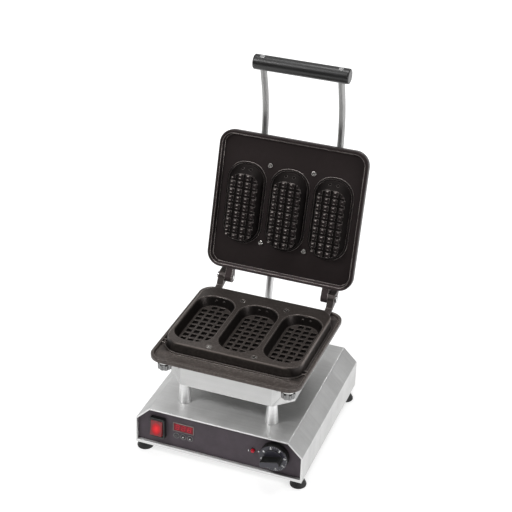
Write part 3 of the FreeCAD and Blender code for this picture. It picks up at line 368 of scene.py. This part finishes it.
    # edges: rubbed-metal colour, partly a painted highlight
    m.color(m.mix(e, k, rubbed_and_highlight_col))
    m.l(m.math("MULTIPLY", e, 0.85), m.b.inputs["Metallic"])
    m.rough(m.math("ADD", r, m.math("MULTIPLY", crevice_shade, 0.25)))
    m.normal(m.bump(fine, grain, 0.0003, m.bump(mid, 0.06, 0.0012, bv)))
    return m.m


def plastic(name, col, rough, bump=0.12, scale=1400.0, coat=0.0, spec=0.5, bevel=0.0005, dust=0.12, wear=0.12):
    m = Mat(name)
    m.set(Metallic=0.0, Coat_Weight=coat, Coat_Roughness=0.08)
    m.b.inputs["Specular IOR Level"].default_value = spec
    big = m.noise(26.0, 5.0, 0.6)
    fine = m.noise(scale, 3.0, 0.55)
    bv = m.bevel(bevel)
    k = m.mix(m.span(big, 0.0, 1.0, 0.35, 0.7), tuple(v * 0.85 for v in col), tuple(min(1, v * 1.15) for v in col))
    k = m.mix(m.math("MULTIPLY", m.edge(bv), wear), k, tuple(min(1, v + 0.12) for v in col))
    k = m.mix(m.span(m.noise(9.0, 6.0, 0.7), 0.0, dust, 0.5, 0.8), k, tuple(min(1, v + 0.05) for v in col))
    m.color(k)
    m.rough(m.math("ADD", m.span(big, rough - 0.04, rough + 0.05, 0.3, 0.7), m.span(fine, -0.02, 0.02, 0.3, 0.7)))
    m.normal(m.bump(fine, bump, 0.0002, bv))
    return m.m


def dial(name, face, shaded_side, rough):
    """Moulded knob: satin face and grip; the ribbed skirt and the other faces turned away from the front painted near
    black as shade.
    """
    m = Mat(name)
    m.set(Metallic=0.0, Coat_Weight=0.1, Coat_Roughness=0.15)
    big = m.noise(40.0, 5.0, 0.6)
    fine = m.noise(1300.0, 3.0, 0.55)
    bv = m.bevel(0.0005)
    sn = m.n("ShaderNodeSeparateXYZ")
    m.l(m.tc.outputs["Normal"], sn.inputs[0])
    f = m.span(m.math("ABSOLUTE", sn.outputs["Y"]), 0.0, 1.0, 0.6, 0.85)
    k = m.mix(m.span(big, 0.0, 1.0, 0.35, 0.7), tuple(v * 0.88 for v in face), tuple(v * 1.14 for v in face))
    # painted shade: faces turned away from the front take the near-black second colour
    k = m.mix(f, shaded_side, k)
    k = m.mix(m.math("MULTIPLY", m.edge(bv), 0.35), k, tuple(v + 0.10 for v in face))
    m.color(k)
    m.rough(m.math("ADD", m.span(big, rough - 0.04, rough + 0.05, 0.3, 0.7), m.span(f, 0.02, 0.0)))
    m.normal(m.bump(fine, 0.06, 0.0002, bv))
    return m.m


def lens(name, col, rough, glow=0.0, trans=0.35):
    m = Mat(name)
    m.set(Metallic=0.0, Transmission_Weight=trans, Coat_Weight=0.08, Coat_Roughness=0.04, IOR=1.49)
    m.b.inputs["Specular IOR Level"].default_value = 0.2
    big = m.noise(90.0, 4.0, 0.6)
    k = m.mix(m.span(big, 0.0, 1.0, 0.3, 0.7), tuple(v * 0.8 for v in col), tuple(min(1, v * 1.12) for v in col))
    m.color(k)
    if glow:
        m.l(k, m.b.inputs["Emission Color"])
        m.b.inputs["Emission Strength"].default_value = glow
    m.rough(m.span(big, rough * 0.8, rough * 1.3, 0.3, 0.7))
    m.normal(m.bump(m.noise(900.0, 2.0, 0.5), 0.03, 0.0002, m.bevel(0.0005)))
    return m.m


def lit_cap(name, col, rim, core, centre, half, rough, glow):
    """Lit moulded cap: bright in the middle where the lamp sits, duller towards its edges."""
    m = Mat(name)
    m.set(Metallic=0.0, Coat_Weight=0.1, Coat_Roughness=0.06, IOR=1.49)
    m.b.inputs["Specular IOR Level"].default_value = 0.25
    mp = m.n("ShaderNodeMapping", vector_type="TEXTURE")
    mp.inputs["Location"].default_value = centre
    mp.inputs["Scale"].default_value = half
    m.l(m.tc.outputs["Object"], mp.inputs["Vector"])
    ln = m.n("ShaderNodeVectorMath", operation="LENGTH")
    m.l(mp.outputs["Vector"], ln.inputs[0])
    d = m.math("ADD", ln.outputs["Value"], m.span(m.noise(120.0, 4.0, 0.6), -0.12, 0.12, 0.3, 0.7))
    m.color(m.mix(m.span(d, 0.0, 1.0, 0.75, 1.15), col, rim))
    m.l(m.ramp(d, ((0.0, core), (0.55, tuple(v * 0.5 for v in core)), (1.0, tuple(v * 0.06 for v in core)))), m.b.inputs["Emission Color"])
    m.b.inputs["Emission Strength"].default_value = glow
    m.rough(m.span(m.noise(60.0, 4.0, 0.6), rough * 0.8, rough * 1.3, 0.3, 0.7))
    m.normal(m.bump(m.noise(900.0, 2.0, 0.5), 0.03, 0.0002, m.bevel(0.0007)))
    return m.m


def trim(name, frame_col, ring_col, split, rough):
    """Grey mouldings of the timer: warmer display frame above, darker key rings below."""
    m = Mat(name)
    m.set(Metallic=0.0)
    big = m.noise(120.0, 5.0, 0.6)
    k = m.mix(m.span(m.xyz()["Z"], 0.0, 1.0, split - 0.001, split + 0.001), ring_col, frame_col)
    m.color(m.mix(m.span(big, 0.0, 0.5, 0.35, 0.7), k, tuple(v * 0.6 for v in ring_col)))
    m.rough(m.span(big, rough - 0.06, rough + 0.08, 0.3, 0.7))
    m.normal(m.bump(m.noise(1500.0, 2.0, 0.5), 0.05, 0.0002, m.bevel(0.0004)))
    return m.m


ROCK = middle("switch_rocker")
MAT = {
    "shell": brushed("shell_brushed", (0.81, 0.81, 0.805), 0.45, "wrap", 0.08, 0.05, 0.0007, 0.14, 0.7),
    "sheet_y": brushed("sheet_brushed_y", (0.62, 0.62, 0.61), 0.32, "x", 0.08, 0.05),
    "hood": brushed("hood_brushed", (0.62, 0.62, 0.61), 0.32, "x", 0.08, 0.05),
    "tray": brushed("tray_bright", (0.66, 0.66, 0.655), 0.44, "x", 0.05, 0.04, 0.0007, 0.04, 0.4),
    "chrome": plated("chrome_plate", (0.70, 0.70, 0.70), 0.10),
    "nut": plated("lobed_nut", (0.24, 0.24, 0.24), 0.07, 0.5),
    "zinc": plated("zinc_plate", (0.55, 0.55, 0.55), 0.26),
    "screw": plated("dark_screw", (0.46, 0.44, 0.42), 0.2, 0.5),
    "screw_lid": plated("lid_screw", (0.56, 0.54, 0.52), 0.2, 0.6),
    "rod": drawn("drawn_rod", (0.40, 0.40, 0.395), 0.46, "z"),
    "post": drawn("turned_post", (0.93, 0.93, 0.925), 0.40, "round", 0.8),
    "tube": drawn("conduit_tube", (0.72, 0.72, 0.72), 0.48, "z"),
    "cast": cast("cast_coated", (0.052, 0.0435, 0.039), (0.074, 0.063, 0.057), 0.36, (0.46, 0.41, 0.385), 0.38, 0.05, 1.0, 0.2, False,
                 (0.0, (155.5 - YM) / 1000.0, 0.1295, 0.1055, (180.0 + FH) / 1000.0, (198.6 + FH) / 1000.0)),
    "arm": cast("cast_arm", (0.022, 0.0185, 0.017), (0.034, 0.029, 0.0265), 0.38, (0.42, 0.375, 0.355), 0.5, 0.08, 0.9),
    "cast_lid": cast("cast_coated_lid", (0.0205, 0.0158, 0.0158), (0.0262, 0.0206, 0.0208), 0.36, (0.66, 0.60, 0.57), 0.2, 0.0, 0.95, 0.2, True),
    "panel": plastic("panel_coating", (0.073, 0.059, 0.070), 0.60, 0.16, 2200.0, 0.0, 0.25),
    "grip": plastic("grip_plastic", (0.006, 0.006, 0.006), 0.36, 0.02, 900.0, 0.1, 0.6, 0.0005, 0.02, 0.03),
    # the knob's second colour is painted shade for the faces turned away from the front
    "knob": dial("knob_plastic", (0.027, 0.025, 0.037), (0.0035, 0.0035, 0.003), 0.36),
    "black": plastic("black_plastic", (0.008, 0.008, 0.008), 0.36, 0.06, 1200.0, 0.1, 0.4, 0.0005, 0.05),
    "key": plastic("key_plastic", (0.045, 0.040, 0.044), 0.42, 0.06, 1200.0, 0.05, 0.35, 0.0005, 0.05),
    "rubber": plastic("foot_rubber", (0.020, 0.020, 0.020), 0.55, 0.3, 700.0, 0.0, 0.35, 0.0006, 0.4),
    "rocker": lit_cap("rocker_red", (0.36, 0.006, 0.012), (0.20, 0.038, 0.043), (1.0, 0.02, 0.026), R(ROCK[0], ROCK[1], ROCK[2]),
                      (0.0092, 0.05, 0.0118), 0.16, 0.55),
    "lamp": lens("lamp_red", (0.55, 0.01, 0.03), 0.10, 0.12, 0.25),
    "display": lens("display_red", (0.115, 0.004, 0.009), 0.12, 0.70, 0.0),
    "digit": lens("display_digit", (0.42, 0.012, 0.028), 0.2, 0.55, 0.0),
    "trim": trim("trim_grey", (0.20, 0.165, 0.155), (0.20, 0.195, 0.20), (38.0 + FH) / 1000.0, 0.42),
    "print": plastic("white_print", (0.93, 0.93, 0.92), 0.5, 0.08, 1500.0, 0.0, 0.3),
    "faint": plastic("grey_print", (0.22, 0.21, 0.21), 0.5, 0.08, 1500.0, 0.0, 0.3),
    "board": plastic("board_green", (0.03, 0.14, 0.06), 0.4, 0.1),
    "inner": plastic("inner_moulding", (0.62, 0.60, 0.52), 0.45, 0.1),
    "wool": plastic("mineral_wool", (0.66, 0.62, 0.52), 0.85, 0.6, 500.0, 0.0, 0.2),
    "wire": plastic("wire_sleeve", (0.24, 0.24, 0.22), 0.6, 0.3, 1200.0),
    "element": drawn("element_tube", (0.22, 0.18, 0.15), 0.4, "y"),
    "alu": brushed("heat_plate_alu", (0.62, 0.62, 0.62), 0.45, "y", 0.06, 0.1),
}
BY_NODE = {
    "base_shell": "shell", "front_panel": "panel", "rear_panel": "sheet_y", "bottom_plate": "sheet_y", "upper_cover": "hood",
    "lower_shroud": "tray", "clamp_ears": "tray", "lower_plate": "cast", "upper_plate": "cast_lid",
    "hinge_arm_left": "arm", "hinge_arm_right": "arm", "thumb_nut_left": "nut", "thumb_nut_right": "nut",
    "hinge_pins": "chrome", "lid_stop_pins": "chrome", "grip_screws": "chrome", "upper_plate_screws": "screw_lid",
    "lower_plate_screws": "screw", "mains_gland": "black", "conduit_base_gland": "chrome", "lid_gland": "chrome",
    "support_posts": "post", "handle_rod_left": "rod", "handle_rod_right": "rod", "rod_clamps": "rod", "clamp_studs": "zinc",
    "wire_sleeve": "post", "lid_conduit": "tube", "thermostat_shaft": "zinc", "thermostat_capillary": "zinc",
    "rear_panel_screws": "zinc", "foot_screws": "zinc", "post_bolts": "zinc", "post_nuts": "zinc", "hinge_arm_screws": "zinc",
    "cover_screws": "zinc", "rod_clamp_screws": "zinc", "lower_element": "element", "upper_element": "element",
    "lower_heat_plate": "alu", "upper_heat_plate": "alu", "lower_insulation": "wool", "upper_insulation": "wool",
    "rubber_feet": "rubber", "handle_grip": "grip", "thermostat_knob": "knob", "switch_housing": "black",
    "timer_button_left": "key", "timer_button_mid": "key", "timer_button_right": "key", "pilot_lamp_body": "black",
    "thermostat_body": "black", "switch_rocker": "rocker", "pilot_lamp_lens": "lamp", "timer_window": "display",
    "timer_trim": "trim", "timer_module": "board", "terminal_block": "inner", "power_relay": "inner", "wiring_loom": "wire",
}
for name, o in N.items():
    o.data.materials.clear()
    o.data.materials.append(MAT[BY_NODE[name]])


# ---------------------------------------------------------------- pieces
def mesh_object(name, bm, mat, body, smooth=True):
    me = bpy.data.meshes.new(name)
    bmesh.ops.recalc_face_normals(bm, faces=bm.faces)
    bm.to_mesh(me)
    bm.free()
    if smooth:
        for p in me.polygons:
            p.use_smooth = True
    o = bpy.data.objects.new(name, me)
    SC.collection.objects.link(o)
    me.materials.append(MAT[mat])
    if body:
        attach(o, body)
    return o


def slab(bm, outline, at, thick):
    """Raised print: outline in 2-D, put in place by at(u, v, w), w out of the surface; its top edge is drawn in a little."""
    cx = sum(p[0] for p in outline) / len(outline)
    cy = sum(p[1] for p in outline) / len(outline)
    low = [bm.verts.new(at(u, v, -0.03)) for u, v in outline]
    top = [bm.verts.new(at(cx + (u - cx) * 0.96, cy + (v - cy) * 0.96, thick)) for u, v in outline]
    n = len(outline)
    bm.faces.new(top)
    bm.faces.new(low[::-1])
    for i in range(n):
        j = (i + 1) % n
        bm.faces.new((low[i], low[j], top[j], top[i]))


def disc(r, n=20, cx=0.0, cy=0.0):
    return [(cx + r * math.cos(2 * math.pi * i / n), cy + r * math.sin(2 * math.pi * i / n)) for i in range(n)]


def text_slabs(bm, word, size, at, thick=0.06):
    """Plain figures as raised print."""
    cu = bpy.data.curves.new("figure", "FONT")
    cu.body = word
    cu.size = size
    cu.align_x = "CENTER"
    cu.align_y = "CENTER"
    cu.resolution_u = 4
    cu.extrude = 0.0
    cu.offset = 0.36
    ob = bpy.data.objects.new("figure", cu)
    SC.collection.objects.link(ob)
    bpy.context.view_layer.update()
    me = bpy.data.meshes.new_from_object(ob)
    tmp = bmesh.new()
    tmp.from_mesh(me)
    bmesh.ops.dissolve_limit(tmp, angle_limit=0.02, verts=tmp.verts, edges=tmp.edges)
    geo = bmesh.ops.extrude_face_region(tmp, geom=tmp.faces[:], use_keep_orig=True)
    up = {v for v in geo["geom"] if isinstance(v, bmesh.types.BMVert)}
    for v in tmp.verts:
        v.co = at(v.co.x, v.co.y, thick if v in up else -0.03)
    me2 = bpy.data.meshes.new("figure_mesh")
    tmp.to_mesh(me2)
    tmp.free()
    bm.from_mesh(me2)
    bpy.data.objects.remove(ob)
    bpy.data.curves.remove(cu)
    bpy.data.meshes.remove(me)
    bpy.data.meshes.remove(me2)


# dial scale on the knob's skirt: figures and ticks
KX, KZ = middle("thermostat_shaft")[0], middle("thermostat_shaft")[2]
KY = -8.0
bm = bmesh.new()
for i, word in enumerate(("0", "1", "2", "3", "4", "5", "6")):
    a = math.radians(194 + 45 * i)
    ca, sa = math.cos(a), math.sin(a)

    def at(u, v, w, ca=ca, sa=sa):
        # figures stand with their feet towards the middle of the dial
        r = 21.2 + v
        return R(KX + ca * r + sa * u, KY - w, KZ + sa * r - ca * u)

    text_slabs(bm, word, 6.8, at)
for i in range(31):
    a = math.radians(194 + 9 * i)
    ca, sa = math.cos(a), math.sin(a)
    w2 = 0.40 if i % 5 == 0 else 0.28
    r0 = 23.9
    slab(bm, [(-w2, 0), (w2, 0), (w2, 1.0), (-w2, 1.0)],
         lambda u, v, w, ca=ca, sa=sa: R(KX + ca * (r0 + v) + sa * u, KY - w, KZ + sa * (r0 + v) - ca * u), 0.06)
# end mark in the gap of the scale
slab(bm, disc(1.9, 18, KX + math.cos(math.radians(149)) * 21.0, KZ + math.sin(math.radians(149)) * 21.0), lambda u, v, w: R(u, KY - w, v), 0.06)
mesh_object("dial_print", bm, "print", "knob", False)

# marks printed on the panel: index by the dial, tick by the lamp
bm = bmesh.new()
slab(bm, disc(1.35, 18, KX - 32.2, KZ - 3.8), lambda u, v, w: R(u, 6.0 - w, v), 0.06)
mesh_object("panel_print", bm, "print", "base", False)
bm = bmesh.new()
LX, LZ = middle("pilot_lamp_lens")[0], middle("pilot_lamp_lens")[2]
slab(bm, [(LX - 9.3, LZ - 5.2), (LX - 8.2, LZ - 5.2), (LX - 8.2, LZ - 1.7), (LX - 9.3, LZ - 1.7)], lambda u, v, w: R(u, 6.0 - w, v), 0.06)
mesh_object("lamp_print", bm, "print", "base", False)

# three-figure display: seven-bar figures behind the red filter
DX, DY, DZ = middle("timer_window")[0], front("timer_window"), middle("timer_window")[2]
bm = bmesh.new()
for cx in (-11.6, 0.0, 11.6):
    def seg(cu, cv, lu, lv):
        k = 0.55
        if lu > lv:
            out = [(-lu, 0), (-lu + k, k), (lu - k, k), (lu, 0), (lu - k, -k), (-lu + k, -k)]
        else:
            out = [(0, -lv), (k, -lv + k), (k, lv - k), (0, lv), (-k, lv - k), (-k, -lv + k)]
        slant = 0.12
        slab(bm, [(cx + cu + u + (cv + v) * slant, cv + v) for u, v in out], lambda u, v, w: R(DX + u, DY - w, DZ + v), 0.05)
    for cv in (-5.0, 0.0, 5.0):
        seg(0.0, cv, 2.5, 0.5)
    for cu in (-2.9, 2.9):
        for cv in (-2.5, 2.5):
            seg(cu, cv, 0.5, 2.2)
mesh_object("display_figures", bm, "digit", "base", False)

# plain marks on the timer keys
for n, kind in (("left", 0), ("mid", 1), ("right", 2)):
    bm = bmesh.new()
    kx, kz, ky = middle("timer_button_" + n)[0], middle("timer_button_" + n)[2], front("timer_button_" + n)
    at = lambda u, v, w, kx=kx, ky=ky, kz=kz: R(kx + u, ky - w, kz + v)
    if kind == 0:
        slab(bm, [(-1.5, -0.3), (1.5, -0.3), (1.5, 0.3), (-1.5, 0.3)], at, 0.05)
    elif kind == 1:
        slab(bm, [(-1.7, 1.2), (0.0, -1.7), (1.7, 1.2)], at, 0.05)
    else:
        slab(bm, [(-1.7, -1.2), (1.7, -1.2), (0.0, 1.7)], at, 0.05)
    mesh_object("key_mark_" + n, bm, "faint" if kind == 0 else "print", "key_" + n, False)


# lid conduit: one smooth tube from the base gland to the lid gland
ROUTE = (R(-22.0, 307.2249, 82.6), R(-22.0, 307.2249, 153.3654), R(-22.0, 325.9787, 220.8068))
cu = bpy.data.curves.new("conduit_route", "CURVE")
cu.dimensions = "3D"
cu.resolution_u = 40
line = cu.splines.new("NURBS")
line.points.add(len(ROUTE) - 1)
for q, c in zip(line.points, ROUTE):
    q.co = (*c, 1.0)
line.order_u = 3
line.use_endpoint_u = True
line.resolution_u = 40
ob = bpy.data.objects.new("conduit_route", cu)
SC.collection.objects.link(ob)
bpy.context.view_layer.update()
me = bpy.data.meshes.new_from_object(ob)
pts = [v.co.copy() for v in me.vertices]
bpy.data.objects.remove(ob)
bpy.data.curves.remove(cu)
bpy.data.meshes.remove(me)
if pts[0].z > pts[-1].z:
    pts.reverse()
bm = bmesh.new()
rings = []
SEG = 36
for i, c in enumerate(pts):
    d = (pts[min(i + 1, len(pts) - 1)] - pts[max(i - 1, 0)]).normalized()
    sx = Vector((1, 0, 0))
    sy = d.cross(sx).normalized()
    rings.append([bm.verts.new(c + (sx * math.cos(2 * math.pi * k / SEG) + sy * math.sin(2 * math.pi * k / SEG)) * 0.007) for k in range(SEG)])
for a, b in zip(rings, rings[1:]):
    for k in range(SEG):
        bm.faces.new((a[k], a[(k + 1) % SEG], b[(k + 1) % SEG], b[k]))
bm.faces.new(rings[0][::-1])
bm.faces.new(rings[-1])
tube = mesh_object("lid_conduit_tube", bm, "tube", None)
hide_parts("lid_conduit")
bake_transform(tube)

# ---------------------------------------------------------------- stage
bm = bmesh.new()
bmesh.ops.create_grid(bm, x_segments=8, y_segments=8, size=9.0)
for v in bm.verts:
    v.co.y = -1.2 + (v.co.y + 9.0) * (10.2 / 18.0)
me = bpy.data.meshes.new("floor")
bm.to_mesh(me)
bm.free()
floor = bpy.data.objects.new("floor", me)
SC.collection.objects.link(floor)
fm = Mat("floor_pale")
fm.color(fm.mix(fm.span(fm.noise(3.0, 3.0, 0.5), 0.0, 1.0, 0.3, 0.7), (0.52, 0.52, 0.52), (0.54, 0.54, 0.54)))
fm.set(Roughness=0.9)
fm.b.inputs["Specular IOR Level"].default_value = 0.1
far = fm.n("ShaderNodeVectorMath", operation="LENGTH")
fm.l(fm.tc.outputs["Object"], far.inputs[0])
fm.l(fm.ramp(fm.span(far.outputs["Value"], 0.0, 1.0, 0.4, 2.2), ((0.0, (0.63, 0.63, 0.63)), (1.0, (0.92, 0.92, 0.92)))), fm.b.inputs["Emission Color"])
fm.b.inputs["Emission Strength"].default_value = 1.0
me.materials.append(fm.m)

# ---------------------------------------------------------------- light
W = bpy.data.worlds.new("studio")
SC.world = W
W.use_nodes = True
nt = W.node_tree
nt.nodes.clear()
wo = nt.nodes.new("ShaderNodeOutputWorld")
bg = nt.nodes.new("ShaderNodeBackground")
tc = nt.nodes.new("ShaderNodeTexCoord")
sp = nt.nodes.new("ShaderNodeSeparateXYZ")
rp = nt.nodes.new("ShaderNodeValToRGB")
els = rp.color_ramp.elements
SKY = ((0.0, 0.70), (0.2, 0.44), (0.36, 0.46), (0.5, 0.60), (1.0, 0.62))
while len(els) < len(SKY):
    els.new(0.5)
for i, (p, v) in enumerate(SKY):
    els[i].position = p
    els[i].color = (v, v, v, 1)
nt.links.new(tc.outputs["Generated"], sp.inputs[0])
nt.links.new(sp.outputs["Z"], rp.inputs["Fac"])


def world_span(src, lo, hi, a, b):
    x = nt.nodes.new("ShaderNodeMapRange")
    for k, v in (("From Min", lo), ("From Max", hi), ("To Min", a), ("To Max", b)):
        x.inputs[k].default_value = v
    nt.links.new(src, x.inputs["Value"])
    return x.outputs["Result"]


# the room in front of the sweep is darker than the sweep itself
fx = nt.nodes.new("ShaderNodeMath")
fx.operation = "MAXIMUM"
nt.links.new(world_span(sp.outputs["Y"], -0.65, 0.15, 0.22, 1.0), fx.inputs[0])
nt.links.new(world_span(sp.outputs["Z"], 0.25, 0.8, 0.22, 1.0), fx.inputs[1])
sh = nt.nodes.new("ShaderNodeMix")
sh.data_type = "RGBA"
sh.blend_type = "MULTIPLY"
sh.inputs[0].default_value = 1.0
nt.links.new(rp.outputs["Color"], sh.inputs[6])
# and its right-hand end falls off a little
fy = nt.nodes.new("ShaderNodeMath")
fy.operation = "MULTIPLY"
nt.links.new(fx.outputs[0], fy.inputs[0])
nt.links.new(world_span(sp.outputs["X"], -0.5, 0.6, 1.05, 0.62), fy.inputs[1])
nt.links.new(fy.outputs[0], sh.inputs[7])
lp = nt.nodes.new("ShaderNodeLightPath")
mx = nt.nodes.new("ShaderNodeMix")
mx.data_type = "RGBA"
mx.inputs[7].default_value = (1.0, 1.0, 1.0, 1.0)
nt.links.new(lp.outputs["Is Camera Ray"], mx.inputs[0])
nt.links.new(sh.outputs[2], mx.inputs[6])
nt.links.new(mx.outputs[2], bg.inputs["Color"])
nt.links.new(bg.outputs[0], wo.inputs[0])
bg.inputs["Strength"].default_value = 1.0


def area(name, pos, target, size, size_y, power):
    li = bpy.data.lights.new(name, "AREA")
    li.shape = "RECTANGLE"
    li.size, li.size_y, li.energy = size, size_y, power
    o = bpy.data.objects.new(name, li)
    SC.collection.objects.link(o)
    o.location = pos
    o.rotation_euler = (Vector(target) - Vector(pos)).to_track_quat("-Z", "Y").to_euler()
    return o


area("key", (-1.3, -1.5, 2.3), (0, 0, 0.3), 0.6, 0.6, 26)
area("fill", (2.1, -0.7, 0.6), (0, 0.05, 0.2), 0.7, 0.8, 12)
area("rear", (0.42, 2.04, 1.55), (0.15, 0, 0.1), 0.2, 0.9, 7)
area("top", (0.1, 0.2, 2.6), (0, 0, 0.2), 1.4, 0.8, 22)

# ---------------------------------------------------------------- camera
AZ, EL, ROLL = math.radians(19.823), math.radians(29.677), math.radians(1.619)
back = Vector((math.sin(AZ) * math.cos(EL), -math.cos(AZ) * math.cos(EL), math.sin(EL)))
right = Vector((math.cos(AZ), math.sin(AZ), 0))
up = right.cross(-back)
r2 = right * math.cos(ROLL) + up * math.sin(ROLL)
u2 = -right * math.sin(ROLL) + up * math.cos(ROLL)
cam = bpy.data.cameras.new("camera")
cam.lens = 94.42
cam.sensor_width = 36.0
cam.sensor_fit = "HORIZONTAL"
cam.clip_end = 50
co = bpy.data.objects.new("camera", cam)
SC.collection.objects.link(co)
mw = Matrix((r2, u2, back)).transposed().to_4x4()
mw.translation = R(705.197, -1780.659, 1518.909)
co.matrix_world = mw
SC.camera = co
SC.view_settings.view_transform = "Standard"
SC.view_settings.look = "None"
SC.view_settings.exposure = 0.0
